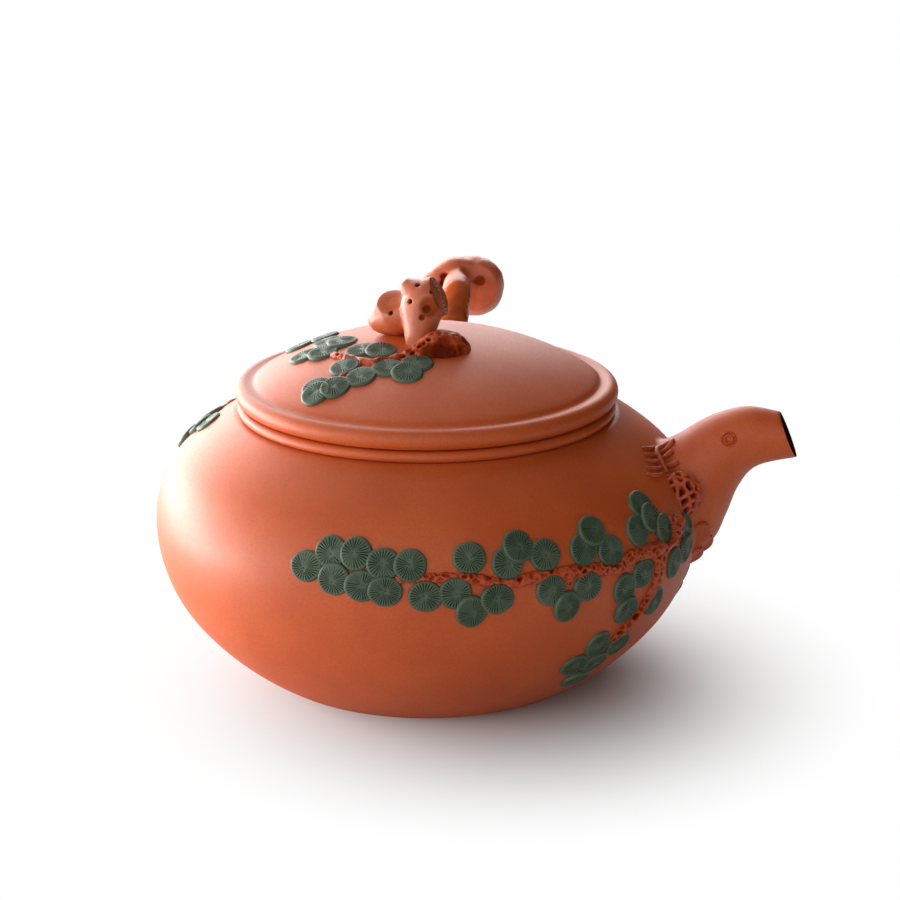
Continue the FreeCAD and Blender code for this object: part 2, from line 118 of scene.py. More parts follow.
def turned(points, steps=TURN_STEPS):
    """Skin turned round the upright axis from a line of (radius, height) points."""
    bm = bmesh.new()
    line = [bm.verts.new((point[0], 0, point[1])) for point in points]
    edges = [bm.edges.new(pair) for pair in zip(line, line[1:])]
    bmesh.ops.spin(bm, geom=line + edges, cent=(0, 0, 0), axis=(0, 0, 1), angle=2 * math.pi,
                   steps=steps, use_merge=True, use_duplicate=False)
    bmesh.ops.remove_doubles(bm, verts=bm.verts, dist=1e-7)
    bmesh.ops.recalc_face_normals(bm, faces=bm.faces)
    return bm


def as_object(bm, name):
    """Loose object from a bmesh, which is used up."""
    mesh = bpy.data.meshes.new(name)
    bm.to_mesh(mesh)
    bm.free()
    made = bpy.data.objects.new(name, mesh)
    bpy.context.scene.collection.objects.link(made)
    return made


def baked(made, *leftovers):
    """Bmesh of an object with its modifiers applied. The object and its leftovers are taken away."""
    bpy.context.view_layer.update()
    seen = made.evaluated_get(bpy.context.evaluated_depsgraph_get())
    mesh = bpy.data.meshes.new_from_object(seen)
    bm = bmesh.new()
    bm.from_mesh(mesh)
    bpy.data.meshes.remove(mesh)
    for done in (made, *leftovers):
        old = done.data
        bpy.data.objects.remove(done)
        bpy.data.meshes.remove(old)
    return bm


def bored(bm, tool):
    """Shape with the space of a tool taken out of it."""
    made, cutter = as_object(bm, "bored"), as_object(tool, "bore")
    cut = made.modifiers.new("cut", "BOOLEAN")
    cut.operation, cut.solver, cut.object = "DIFFERENCE", "EXACT", cutter
    return baked(made, cutter)


def settle(bm, name, body, material, nodes, crease=math.radians(45)):
    """Finished piece from a bmesh: smooth but for creases, in its material, on its body."""
    for face in bm.faces:
        face.smooth = True
    for edge in bm.edges:
        edge.smooth = edge.calc_face_angle(0.0) < crease
    made = as_object(bm, name)
    made.data.materials.append(material)
    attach(made, body)
    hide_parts(*nodes)
    return made


def group_node(group, kind, **values):
    node = group.nodes.new("ShaderNode" + kind)
    for socket, value in values.items():
        node.inputs[socket.replace("_", " ")].default_value = value
    return node


def clay_grain():
    """Group for fired clay: cloudy firing marks, pale and dark sand specks, and the height of the grain."""
    group = bpy.data.node_groups.new("clay_grain", "ShaderNodeTree")
    for name in ("Cloud", "Pale specks", "Dark specks", "Height"):
        group.interface.new_socket(name=name, in_out="OUTPUT", socket_type="NodeSocketFloat")
    size = group.interface.new_socket(name="Grain size", in_out="INPUT", socket_type="NodeSocketFloat")
    size.default_value = GRAIN_SCALE
    given, put = group.nodes.new("NodeGroupInput"), group.nodes.new("NodeGroupOutput")
    place = group.nodes.new("ShaderNodeTexCoord").outputs["Object"]
    link = group.links.new

    cloud = group_node(group, "TexNoise", Scale=CLOUD_SCALE, Detail=4.0, Roughness=0.55)
    link(place, cloud.inputs["Vector"])
    link(cloud.outputs["Fac"], put.inputs["Cloud"])

    grain = group_node(group, "TexNoise", Detail=3.0, Roughness=0.6)
    link(place, grain.inputs["Vector"])
    link(given.outputs["Grain size"], grain.inputs["Scale"])
    link(grain.outputs["Fac"], put.inputs["Height"])

    for name, scale, share in SPECKS:
        cells = group_node(group, "TexVoronoi", Scale=scale)
        link(place, cells.inputs["Vector"])
        chosen = group_node(group, "MapRange", From_Min=share, From_Max=share + SPECK_SOFT)
        parted = group.nodes.new("ShaderNodeSeparateColor")
        link(cells.outputs["Color"], parted.inputs["Color"])
        link(parted.outputs["Red"], chosen.inputs["Value"])
        near = group_node(group, "MapRange", From_Min=SPECK_EDGE, From_Max=SPECK_CORE)
        link(cells.outputs["Distance"], near.inputs["Value"])
        both = group.nodes.new("ShaderNodeMath")
        both.operation = "MULTIPLY"
        link(chosen.outputs["Result"], both.inputs[0])
        link(near.outputs["Result"], both.inputs[1])
        link(both.outputs["Value"], put.inputs[name])
    return group


CLAY_GRAIN = clay_grain()


def colour_mix(tree, share, first, second):
    """Mix node between two colours or colour sockets, by a value or a socket."""
    mix = tree.nodes.new("ShaderNodeMix")
    mix.data_type = "RGBA"
    for socket, given in ((mix.inputs[0], share), (mix.inputs[6], first), (mix.inputs[7], second)):
        if isinstance(given, bpy.types.NodeSocket):
            tree.links.new(given, socket)
        else:
            socket.default_value = given
    return mix.outputs[2]


def ranged(tree, value, low, high, to_low, to_high):
    node = group_node(tree, "MapRange", From_Min=low, From_Max=high, To_Min=to_low, To_Max=to_high)
    tree.links.new(value, node.inputs["Value"])
    return node.outputs["Result"]


def fired_clay(name, dark, middle, pale, rough, bump, sand=0.16, shine=0.50, hollow=None):
    """Unglazed clay: firing clouds, sand specks, fine grain, and painted shade in the hollows where the mesh
    marks them: a darker colour and no shine there.
    """
    material = bpy.data.materials.new(name)
    material.use_nodes = True
    tree = material.node_tree
    clay = tree.nodes["Principled BSDF"]
    marks = tree.nodes.new("ShaderNodeGroup")
    marks.node_tree = CLAY_GRAIN
    marks.inputs["Grain size"].default_value = GRAIN_SCALE
    cloud = ranged(tree, marks.outputs["Cloud"], 0.32, 0.68, 0.0, 1.0)
    colour = colour_mix(tree, cloud, middle, pale)
    fine = ranged(tree, marks.outputs["Height"], 0.30, 0.55, 0.40, 0.0)
    colour = colour_mix(tree, fine, colour, dark)
    colour = colour_mix(tree, ranged(tree, marks.outputs["Pale specks"], 0, 1, 0, sand), colour, SAND_PALE)
    colour = colour_mix(tree, ranged(tree, marks.outputs["Dark specks"], 0, 1, 0, sand), colour, SAND_DARK)
    # Painted shade: where the mesh marks a hollow, the colour goes to the given dark and the shine to
    # nothing.
    if hollow:
        marked = tree.nodes.new("ShaderNodeAttribute")
        marked.attribute_name = "hollow"
        colour = colour_mix(tree, ranged(tree, marked.outputs["Fac"], 0, 1, 0, 1), colour, hollow)
        gloss = ranged(tree, marked.outputs["Fac"], 0, 0.3, shine, 0)
        tree.links.new(gloss, clay.inputs["Specular IOR Level"])
    else:
        clay.inputs["Specular IOR Level"].default_value = shine
    tree.links.new(colour, clay.inputs["Base Color"])
    tree.links.new(ranged(tree, marks.outputs["Height"], 0.3, 0.7, rough + 0.07, rough - 0.05),
                   clay.inputs["Roughness"])
    lift = group_node(tree, "Bump", Strength=bump, Distance=GRAIN_HIGH)
    tree.links.new(marks.outputs["Height"], lift.inputs["Height"])
    tree.links.new(lift.outputs["Normal"], clay.inputs["Normal"])
    return material


RED_CLAY = fired_clay("red_clay", RED_DARK, RED_MID, RED_PALE, rough=0.50, bump=0.30)


def shell_outline():
    """Closed outline of the shell, from the middle of the base over the outside, the mouth and the inside."""
    eased = arc(Vector((BASE_R - BASE_EASE, BASE_EASE)), BASE_EASE, math.radians(-90), math.radians(-40),
                EASE_STEPS)
    outside = [point for point in wall_outline(0.0) if point.y > BASE_EASE * 0.6]
    bead_half = (MOUTH_Z - NECK.y) / 2
    bead_bulge = BEAD_R - BEAD_FOOT_R
    bead_arc_r = (bead_half ** 2 + bead_bulge ** 2) / (2 * bead_bulge)
    bead_turn = math.asin(bead_half / bead_arc_r)
    bead = arc(Vector((BEAD_R - bead_arc_r, NECK.y + bead_half)), bead_arc_r, -bead_turn, bead_turn,
               BEAD_STEPS)
    rim = arc(Vector((MOUTH_R + BASE_EASE / 2, MOUTH_Z - BASE_EASE / 2)), BASE_EASE / 2,
              math.radians(90), math.radians(180), RIM_STEPS)
    inside = [point for point in reversed(wall_outline(WALL)) if point.y > BASE_T]
    ledge = Vector((MOUTH_R, inside[0].y))
    return ([Vector((0, 0))] + eased + outside + bead + rim + [ledge] + inside
            + [Vector((wall_at(BASE_T, WALL)[0], BASE_T)), Vector((0, BASE_T))])


# Spout: a bent hollow tube, rolled round a tapered stick and luted on, its root smeared out on the belly.
# Same red clay; the tip is pared to a thin edge, and the tea way goes on through the wall. The inside, from
# the rim in, is painted near black with no shine, as painted shade.
SPOUT_TURN = math.radians(6)
SPOUT = (  # top (out from the belly, height), bottom (out, height), half width, wall
    (-0.0140, 0.0472, -0.0050, 0.0226, 0.0100, 0.0040),
    (-0.0052, 0.0508, 0.0031, 0.0290, 0.0092, 0.0036),
    (-0.0004, 0.0540, 0.0059, 0.0350, 0.0080, 0.0030),
    (0.0042, 0.0563, 0.0082, 0.0412, 0.0066, 0.0023),
    (0.0096, 0.0576, 0.0118, 0.0455, 0.0053, 0.0017),
    (0.0158, 0.0567, 0.0196, 0.0476, 0.0043, 0.0011),
)
SPOUT_SIDES = 72
SPOUT_STEPS = 26
SPOUT_TURNS = [2 * math.pi * i / SPOUT_SIDES for i in range(SPOUT_SIDES)]
ROOT_SWEEP, ROOT_SWEEP_TOP, ROOT_STEPS = 0.0040, 0.0012, 6
ROOT_SINK, ROOT_BELOW_NECK = 0.00003, 0.0004
ROOT_HEART, ROOT_STRIDE, ROOT_END = 1.6, 0.004, 0.9
TIP_EASE, TIP_RIM, TIP_FLARE, TIP_LEAN = 0.00002, 0.28, 0.16, 0.012
TIP_ROWS = ((0.1, 0.0), (0.3, 1.0), (0.7, 1.0), (0.9, 0.3))  # share of the rim inwards, ease outwards
SHADED_ROWS = 3
TEA_WAY_PLACES, TEA_WAY_INSET = (0.0, 0.1, 0.2, 0.3, 0.4), 0.96
# Painted shade inside the bore: near black from the rim inwards, with no shine.
BORE_SHADE = (0.025, 0.004, 0.002, 1)
SPOUT_CLAY = fired_clay("spout_clay", RED_DARK, RED_MID, RED_PALE, rough=0.50, bump=0.30, hollow=BORE_SHADE)


def eased_run(rows, per):
    """Smooth run of rows of numbers through the given rows, with so many steps between each two."""
    run = []
    for i in range(len(rows) - 1):
        before, a, b, after = rows[max(i - 1, 0)], rows[i], rows[i + 1], rows[min(i + 2, len(rows) - 1)]
        for step in range(per):
            t = step / per
            run.append(tuple(
                0.5 * (2 * q + (r - p) * t + (2 * p - 5 * q + 4 * r - s) * t * t
                       + (3 * q - p - 3 * r + s) * t ** 3)
                for p, q, r, s in zip(before, a, b, after)))
    return run + [tuple(rows[-1])]


SPOUT_RUN = eased_run(SPOUT, 12)


def by_spout(out, aside, rise):
    """Vector given along the spout, to its left and up."""
    along, left = way(SPOUT_TURN), way(SPOUT_TURN + math.pi / 2)
    return (along * out + left * aside).to_3d() + Vector((0, 0, rise))


def by_belly(out, aside, z):
    """Place on the spout's side, counted out from the belly."""
    return by_spout(BELLY_R + out, aside, z)


def spout_point(place, turn, inset=0.0):
    """Point of the spout's skin: place from 0 at the root to 1 at the tip, turn from the top round."""
    at = place * (len(SPOUT_RUN) - 1)
    low = min(int(at), len(SPOUT_RUN) - 2)
    top_x, top_z, bottom_x, bottom_z, wide, wall = (
        a + (b - a) * (at - low) for a, b in zip(SPOUT_RUN[low], SPOUT_RUN[low + 1]))
    top, bottom = by_belly(top_x, 0, top_z), by_belly(bottom_x, 0, bottom_z)
    tall = (top - bottom) / 2
    tall = tall.normalized() * (tall.length - wall * inset)
    return (top + bottom) / 2 + tall * math.cos(turn) + by_spout(0, wide - wall * inset, 0) * math.sin(turn)


def off_wall(point, inset=0.0):
    """How far a point lies outside the pot's wall."""
    return math.hypot(point.x, point.y) - wall_at(min(point.z, NECK.y), inset)[0]


def wall_crossing(turn, inset, wall_inset):
    """Place along the spout where its skin goes into the wall."""
    low, high = 0.0, 1.0
    for _ in range(30):
        middle = (low + high) / 2
        if off_wall(spout_point(middle, turn, inset), wall_inset) > 0:
            high = middle
        else:
            low = middle
    return (low + high) / 2


def ring_of(bm, points):
    """Closed ring of edges through the points."""
    made = bmesh.ops.create_circle(bm, segments=len(points), radius=1.0)["verts"]
    for vert, point in zip(made, points):
        vert.co = point
    return list({edge for vert in made for edge in vert.link_edges})


def bridged(bm, rings, close=False):
    """Skin over a row of rings."""
    for a, b in zip(rings, rings[1:] + rings[:1] if close else rings[1:]):
        bmesh.ops.bridge_loops(bm, edges=a + b)


def capped(bm, rings):
    """Flat ends on a skin over a row of rings."""
    for ring in (rings[0], rings[-1]):
        bmesh.ops.edgeloop_fill(bm, edges=ring)
    bmesh.ops.recalc_face_normals(bm, faces=bm.faces)


def root_sweep(turn):
    """Points from the spout's side down on to the belly, in one soft sweep."""
    cross = wall_crossing(turn, 0.0, 0.0)
    reach = ROOT_SWEEP_TOP + (ROOT_SWEEP - ROOT_SWEEP_TOP) * (1 - max(math.cos(turn), 0.0))
    foot = spout_point(cross, turn)
    start = cross
    while (spout_point(start, turn) - foot).length < reach and start < ROOT_END:
        start += ROOT_STRIDE
    heart = spout_point(cross, turn, ROOT_HEART)
    lean = wall_at(foot.z)[1]
    out = Vector((foot.x, foot.y, 0)).normalized() * lean.x + Vector((0, 0, lean.y))
    aside = foot - heart
    aside = (aside - out * aside.dot(out)).normalized()
    far = foot + aside * reach
    far.z = min(far.z, NECK.y - ROOT_BELOW_NECK)
    level = Vector((far.x, far.y)).normalized() * (wall_at(far.z)[0] - ROOT_SINK)
    return start, foot, Vector((level.x, level.y, far.z))


def spout_skin():
    """Skin from the swept root over the outside to the tip, and back through the tea way to the wall."""
    sweeps = [root_sweep(turn) for turn in SPOUT_TURNS]
    tips = [1 - TIP_LEAN * max(-math.sin(turn), 0.0) for turn in SPOUT_TURNS]
    rings = []
    for step in range(ROOT_STEPS, 0, -1):
        t = step / ROOT_STEPS
        rings.append([
            spout_point(start, turn) * (1 - t) ** 2 + foot * (2 * t * (1 - t)) + far * t * t
            for turn, (start, foot, far) in zip(SPOUT_TURNS, sweeps)])
    for step in range(SPOUT_STEPS):
        t = step / SPOUT_STEPS
        rings.append([
            spout_point(start + (tip - start) * t, turn)
            for turn, tip, (start, foot, far) in zip(SPOUT_TURNS, tips, sweeps)])
    lip = by_spout(0, 1, 0).cross(spout_point(1.0, 0) - spout_point(1.0, math.pi)).normalized()
    for share, out in TIP_ROWS:
        rings.append([
            spout_point(tip, turn, TIP_RIM * share) + lip * TIP_EASE * out
            for turn, tip in zip(SPOUT_TURNS, tips)])
    mid_wall = [wall_crossing(turn, 1.0, WALL / 2) for turn in SPOUT_TURNS]
    for step in range(1, SPOUT_STEPS + 1):
        t = step / SPOUT_STEPS
        inset = 1 - (1 - TIP_RIM) * max(1 - t / TIP_FLARE, 0.0) ** 2
        rings.append([
            spout_point(tip + (end - tip) * t, turn, inset)
            for turn, tip, end in zip(SPOUT_TURNS, tips, mid_wall)])
    bm = bmesh.new()
    mark = bm.verts.layers.float.new("hollow")
    made = [ring_of(bm, ring) for ring in rings]
    # The rim's inner rows and the whole inside are marked for painted shade.
    for ring in made[-SPOUT_STEPS - SHADED_ROWS:]:
        for vert in {vert for edge in ring for vert in edge.verts}:
            vert[mark] = 1.0
    bridged(bm, made, close=True)
    bmesh.ops.recalc_face_normals(bm, faces=bm.faces)
    return bm


def tea_way():
    """Space of the tea way where it goes through the wall."""
    bm = bmesh.new()
    rings = [ring_of(bm, [spout_point(place, turn, TEA_WAY_INSET) for turn in SPOUT_TURNS])
             for place in TEA_WAY_PLACES]
    bridged(bm, rings)
    capped(bm, rings)
    return bm


pot_shell = settle(bored(turned(shell_outline()), tea_way()), "pot_shell", "pot", RED_CLAY,
                   ("base_slab", "pot_wall", "shoulder_slab", "mouth_ring"))
spout_tube = settle(spout_skin(), "spout_tube", "pot", SPOUT_CLAY, ("spout",),
                    crease=math.radians(50))

bm = bmesh.new()
bm.from_mesh(pot_shell.data)
bm.from_mesh(spout_tube.data)
POT_SKIN = bvhtree.BVHTree.FromBMesh(bm)
bm.free()


def on_skin(point):
    """Nearest place on the pot or the spout, and the way the surface faces there."""
    place, faces, index, apart = POT_SKIN.find_nearest(point)
    return place, faces


# Ball strainer: a thin pierced half ball of the same red clay, luted over the tea hole inside the pot.
# It is seen only through the mouth, so the solid's own mesh is kept.
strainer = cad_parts["strainer"]
strainer.data.materials.clear()
strainer.data.materials.append(RED_CLAY)


# Handle: a rolled and carved branch stuck on the back of the belly, with a knotty burl and a cut twig.
# Branch clay, a little paler than the pot, worked with a bamboo knife and pricked with small holes; the holes
# and a band along the top of the stem carry painted shade.
HANDLE_TURN = math.radians(99.5)
STEM = (  # out from the belly, aside, height, radius
    (-0.016, 0, 0.0440, 0.0090), (-0.004, 0, 0.0485, 0.0074), (0.006, 0, 0.0520, 0.0054),
    (0.018, 0, 0.0544, 0.0042), (0.032, 0, 0.0563, 0.0036), (0.052, 0, 0.0574, 0.0036),
)
BURL_AT, BURL_HALF = (0.0556, 0.0032, 0.0552), (0.0062, 0.0080, 0.0078)
TWIG = (
    (0.0544, 0.0022, 0.0594, 0.0034), (0.0534, -0.0016, 0.0594, 0.0035), (0.0522, -0.0050, 0.0576, 0.0033),
    (0.0506, -0.0090, 0.0548, 0.0027),
)
# Darkness is painted shade in the holes and in the burl's hollow.
HANDLE_HOLES = (  # place, radius, depth, darkness, with the burl's dish and its hollow first
    ((0.0498, 0.0030, 0.0560), 0.0062, 0.0019, 0.0), ((0.0502, 0.0052, 0.0576), 0.0017, 0.0012, 0.6),
    ((0.0492, -0.0037, 0.0590), 0.0012, 0.0012, 0.8), ((0.0491, -0.0042, 0.0569), 0.0011, 0.0012, 0.8),
    ((0.0300, -0.0034, 0.0570), 0.0009, 0.0008, 0.8), ((0.0180, 0.0036, 0.0562), 0.0010, 0.0008, 0.8),
)
# Painted shade along the top of the stem, which lies in shadow: colour only, no dent.
STEM_SHADE = (  # out from the belly, height
    (0.010, 0.0576), (0.015, 0.0580), (0.020, 0.0587), (0.025, 0.0592), (0.030, 0.0596), (0.035, 0.0598),
)
SHADE_ASIDE, SHADE_R, SHADE_DARK = 0.0010, 0.0110, 0.36
HANDLE_VOXEL, HANDLE_SOFT = 0.0004, 6
HANDLE_LUMPS = ((0.00035, 0.0055), (0.00012, 0.0020))  # height, size
ROLL_END_OUT, ROLL_END_R = 0.35, 0.7
HOLE_CURVE, HOLE_DARK_EDGE = 0.8, 1.6
NET_RIDGE, NET_SLOPE, NET_PATCH, NET_WORN, NET_LEAST = 0.10, 0.42, 2.2, 0.55, 0.15
WOOD_DARK, WOOD_MID, WOOD_PALE = (0.30, 0.040, 0.008, 1), (0.46, 0.082, 0.020, 1), (0.54, 0.115, 0.036, 1)
# Painted shade colour for the branch clay's holes and hollows.
WOOD_HOLLOW_SHADE = (0.065, 0.008, 0.003, 1)
BRANCH_CLAY = fired_clay("branch_clay", WOOD_DARK, WOOD_MID, WOOD_PALE, rough=0.42, bump=0.35, shine=0.80,
                         hollow=WOOD_HOLLOW_SHADE)


def handle_place(out, aside, z):
    away, right = way(HANDLE_TURN), way(HANDLE_TURN - math.pi / 2)
    level = away * (BELLY_R + out) + right * aside
    return Vector((level.x, level.y, z))


def roll_of_clay(bm, places, sides=20, per=5):
    """Rolled bar through (point, radius) places with closed, rounded ends."""
    rows = eased_run([(*point, radius) for point, radius in places], per)
    run = [(Vector(row[:3]), row[3]) for row in rows]
    first, last = run[0], run[-1]
    start_way, end_way = (first[0] - run[1][0]).normalized(), (last[0] - run[-2][0]).normalized()
    run = ([(first[0] + start_way * first[1] * ROLL_END_OUT, first[1] * ROLL_END_R)] + run
           + [(last[0] + end_way * last[1] * ROLL_END_OUT, last[1] * ROLL_END_R)])
    rings = []
    for i, (point, radius) in enumerate(run):
        along = (run[min(i + 1, len(run) - 1)][0] - run[max(i - 1, 0)][0]).normalized()
        turn = along.to_track_quat("Z", "Y").to_matrix()
        spokes = [turn @ way(2 * math.pi * k / sides).to_3d() for k in range(sides)]
        rings.append(ring_of(bm, [point + spoke * radius for spoke in spokes]))
    bridged(bm, rings)
    capped(bm, rings)


def one_skin(bm, voxel, rounds):
    """Lumps of clay pressed together under one skin, with the joints smoothed."""
    made = as_object(bm, "lumps")
    skin = made.modifiers.new("skin", "REMESH")
    skin.mode, skin.voxel_size = "VOXEL", voxel
    soft = made.modifiers.new("soft", "SMOOTH")
    soft.factor, soft.iterations = 0.5, rounds
    return baked(made)


def clipped(value, low=0.0, high=1.0):
    return min(max(value, low), high)


def worked(bm, lumps, seed, holes=(), net=None):
    """Hand-worked skin: soft lumps as (height, size), holes as (place, radius, depth, darkness of painted
    shade), and bark ridges in a net of so wide a cell and so deep a pit, with painted shade in the pits."""
    mark = bm.verts.layers.float.new("hollow")
    bm.normal_update()
    bm.verts.ensure_lookup_table()
    near = kdtree.KDTree(len(bm.verts))
    for vert in bm.verts:
        near.insert(vert.co, vert.index)
    near.balance()
    sink = [0.0] * len(bm.verts)
    for place, radius, deep, darkness in holes:
        for found, index, apart in near.find_range(near.find(place)[0], radius):
            share = (1 - (apart / radius) ** 2) ** HOLE_CURVE
            sink[index] = max(sink[index], deep * share)
            # Painted shade in the holes, darkest towards the middle.
            shade = darkness * (min(HOLE_DARK_EDGE * share, 1.0) if deep else share ** 2)
            bm.verts[index][mark] = max(bm.verts[index][mark], shade)
    shift = Vector((seed * 3.7, seed * 1.3, seed * 2.1))
    for vert in bm.verts:
        rise = sum(high * noise.noise(vert.co / size + shift) for high, size in lumps) - sink[vert.index]
        if net:
            cell, deep = net
            first, second = noise.voronoi(vert.co / cell + shift)[0][:2]
            ragged = clipped(noise.noise(vert.co / (NET_PATCH * cell) + shift) + NET_WORN, NET_LEAST)
            pit = clipped((second - first - NET_RIDGE) / NET_SLOPE) * ragged
            # Painted shade in the bark pits.
            vert[mark] = max(vert[mark], pit)
            rise -= deep * pit
        vert.co += vert.normal * rise
    return bm


def handle_skin():
    """Stem, twig and burl under one skin, with their holes and painted shade along the stem."""
    bm = bmesh.new()
    for run in (STEM, TWIG):
        roll_of_clay(bm, [(handle_place(out, aside, z), radius) for out, aside, z, radius in run])
    lump = bmesh.ops.create_icosphere(bm, subdivisions=4, radius=1.0)["verts"]
    bmesh.ops.scale(bm, vec=BURL_HALF, verts=lump)
    bmesh.ops.rotate(bm, cent=(0, 0, 0), matrix=Matrix.Rotation(HANDLE_TURN, 3, "Z"), verts=lump)
    bmesh.ops.translate(bm, vec=handle_place(*BURL_AT), verts=lump)
    bm = one_skin(bm, HANDLE_VOXEL, HANDLE_SOFT)
    holes = [(handle_place(*place), radius, deep, darkness) for place, radius, deep, darkness in HANDLE_HOLES]
    stem_shade = [(handle_place(out, SHADE_ASIDE, z), SHADE_R, 0.0, SHADE_DARK) for out, z in STEM_SHADE]
    return worked(bm, HANDLE_LUMPS, 3, holes + stem_shade)


settle(handle_skin(), "handle_branch", "pot", BRANCH_CLAY,
       ("handle_stem", "handle_burl", "handle_twig"))


# Needle tufts: small discs of green clay, each pressed with fine grooves that meet in the middle,
# laid on the pot like scales so that one laps over the next.
PAD_R, PAD_H, PAD_SINK = 0.00315, 0.00062, 0.0009
PAD_LAP, LAP_REACH, LAP_LIFT = 0.00038, 1.75, 0.55
PAD_ROWS = (  # share of the radius, share of the height above or of the sink below
    (0.0, 0.80), (0.07, 0.82), (0.15, 0.88), (0.26, 0.95), (0.40, 1.0), (0.56, 1.0), (0.72, 1.0),
    (0.79, 1.0), (0.86, 0.99), (0.93, 0.88), (0.98, 0.60), (1.0, 0.1), (0.97, -0.6), (0.9, -1.0),
)
PAD_OFF_MIDDLE, PAD_LONG, PAD_WOBBLE = (0.05, 0.22), (0.94, 1.06), 0.035
PAD_WORN, WORN_DEEP = 0.22, 0.5
PAD_CREASE = math.radians(80)
GROOVES, GROOVE_STEPS = (25, 32), 6
GROOVE_DEEP, GROOVE_SHARE, GROOVE_CURVE = 0.00017, (0.6, 1.0), 0.75
GROOVE_START, GROOVE_FADE_IN = (0.06, 0.26), 0.18
GROOVE_END, GROOVE_FADE_OUT = 0.89, 0.12
PIT_R, PIT_DEEP = 0.05, 0.5
TUFTS = {  # angle, height
    "tuft_far": ((-100, 0.0390), (-95.3, 0.0420), (-90, 0.0420), (-94, 0.0373), (-88.6, 0.0365),
                 (-84.5, 0.0406), (-84, 0.0358), (-79.3, 0.0405)),
    "tuft_middle": ((-76.4, 0.0350), (-70.7, 0.0355), (-67.7, 0.0318), (-62.7, 0.0340)),
    "tuft_upper": ((-67.8, 0.0416), (-60.3, 0.0402), (-57.8, 0.0428), (-52.4, 0.0408)),
    "tuft_lower": ((-51.8, 0.0343), (-48.2, 0.0304), (-43.5, 0.0335)),
    "tuft_high": ((-43.6, 0.0404), (-40.5, 0.0432), (-37, 0.0390)),
    "tuft_top": ((-24, 0.0446), (-28.2, 0.0408), (-23, 0.0420), (-19.6, 0.0390)),
    "tuft_side": ((-33.7, 0.0308), (-28.3, 0.0326), (-32.4, 0.0260), (-22.5, 0.0250)),
    "tuft_bottom": ((-37.9, 0.0196), (-42.1, 0.0154), (-35.4, 0.0142), (-37.9, 0.0104), (-30.5, 0.0176)),
    "tuft_spout": ((-8.4, 0.0360), (-10, 0.0322), (-16.1, 0.0312)),
    "tuft_under": ((9, 0.0210), (13, 0.0185), (8, 0.0165), (12, 0.0135)),
    "tuft_back": ((-169.5, 0.0512), (-174.5, 0.0493), (-180, 0.0502), (-184, 0.0476), (-177, 0.0460)),
}
GREEN_DARK, GREEN_MID = (0.030, 0.046, 0.022, 1), (0.056, 0.088, 0.050, 1)
GREEN_PALE = (0.090, 0.132, 0.084, 1)
# Painted shade colour for the pads' grooves and middle pits.
GREEN_GROOVE_SHADE = (0.014, 0.020, 0.007, 1)
GREEN_CLAY = fired_clay("green_clay", GREEN_DARK, GREEN_MID, GREEN_PALE, rough=0.46, bump=0.45,
                        sand=0.08, hollow=GREEN_GROOVE_SHADE)


def upright(faces):
    """Ways to the side and up in a surface that faces a given way."""
    up = (Vector((0, 0, 1)) - faces * faces.z).normalized()
    return up.cross(faces), up


def join_in(whole, bm):
    """Adds a bmesh to another one, and uses it up."""
    mesh = bpy.data.meshes.new("joined")
    bm.to_mesh(mesh)
    bm.free()
    whole.from_mesh(mesh)
    bpy.data.meshes.remove(mesh)


def pressed_pad(spot, lean, chance):
    """One grooved pad on a spot of a curved surface, leaning over by a vector in the plane of the surface."""
    place, faces, bends = spot
    grooves = chance.randint(*GROOVES)
    rows = [(share * PAD_R, high * (PAD_H if high > 0 else PAD_SINK)) for share, high in PAD_ROWS]
    bm = turned(rows, steps=grooves * GROOVE_STEPS)
    mark = bm.verts.layers.float.new("hollow")
    spin = chance.uniform(0, 2 * math.pi)
    off_middle = way(chance.uniform(0, 2 * math.pi)) * PAD_R * chance.uniform(*PAD_OFF_MIDDLE)
    long_way = chance.uniform(*PAD_LONG)
    reach = [chance.uniform(*GROOVE_START) for _ in range(grooves + 1)]
    worn = chance.uniform(0, grooves)
    deep = [chance.uniform(*GROOVE_SHARE) * (WORN_DEEP if (i - worn) % grooves < PAD_WORN * grooves else 1.0)
            for i in range(grooves + 1)]
    side, up = upright(faces)
    for vert in bm.verts:
        flat = Vector((vert.co.x, vert.co.y))
        share = flat.length / PAD_R
        angle = (math.atan2(flat.y, flat.x) % (2 * math.pi)) / (2 * math.pi) * grooves
        which = round(angle)
        dent = 0.0
        if vert.co.z > 0:
            valley = 1 - abs(math.sin(math.pi * angle)) ** GROOVE_CURVE
            fade_in = clipped((share - reach[which]) / GROOVE_FADE_IN)
            fade_out = clipped((GROOVE_END - share) / GROOVE_FADE_OUT)
            dent = valley * (fade_in * fade_out) * deep[which] + (PIT_DEEP if share < PIT_R else 0.0)
        # Painted shade in the grooves and the middle pit, as deep as they are pressed.
        vert[mark] = dent
        flat = Matrix.Rotation(spin, 2) @ flat
        flat = Vector((flat.x * long_way, flat.y / long_way)) + off_middle * max(1 - share, 0.0) ** 1.5
        outward = Vector((flat.x, flat.y, 0)).normalized()
        flat *= 1 + PAD_WOBBLE * noise.noise(outward * 1.7 + Vector((spin * 9, 0, 0)))
        high = vert.co.z - dent * GROOVE_DEEP
        if vert.co.z > -PAD_SINK * 0.9:
            high += flat.dot(lean) + lean.length * PAD_R * LAP_LIFT
        high -= flat.x ** 2 / (2 * bends[0]) + flat.y ** 2 / (2 * bends[1])
        vert.co = place + side * flat.x + up * flat.y + faces * high
    bmesh.ops.recalc_face_normals(bm, faces=bm.faces)
    return bm


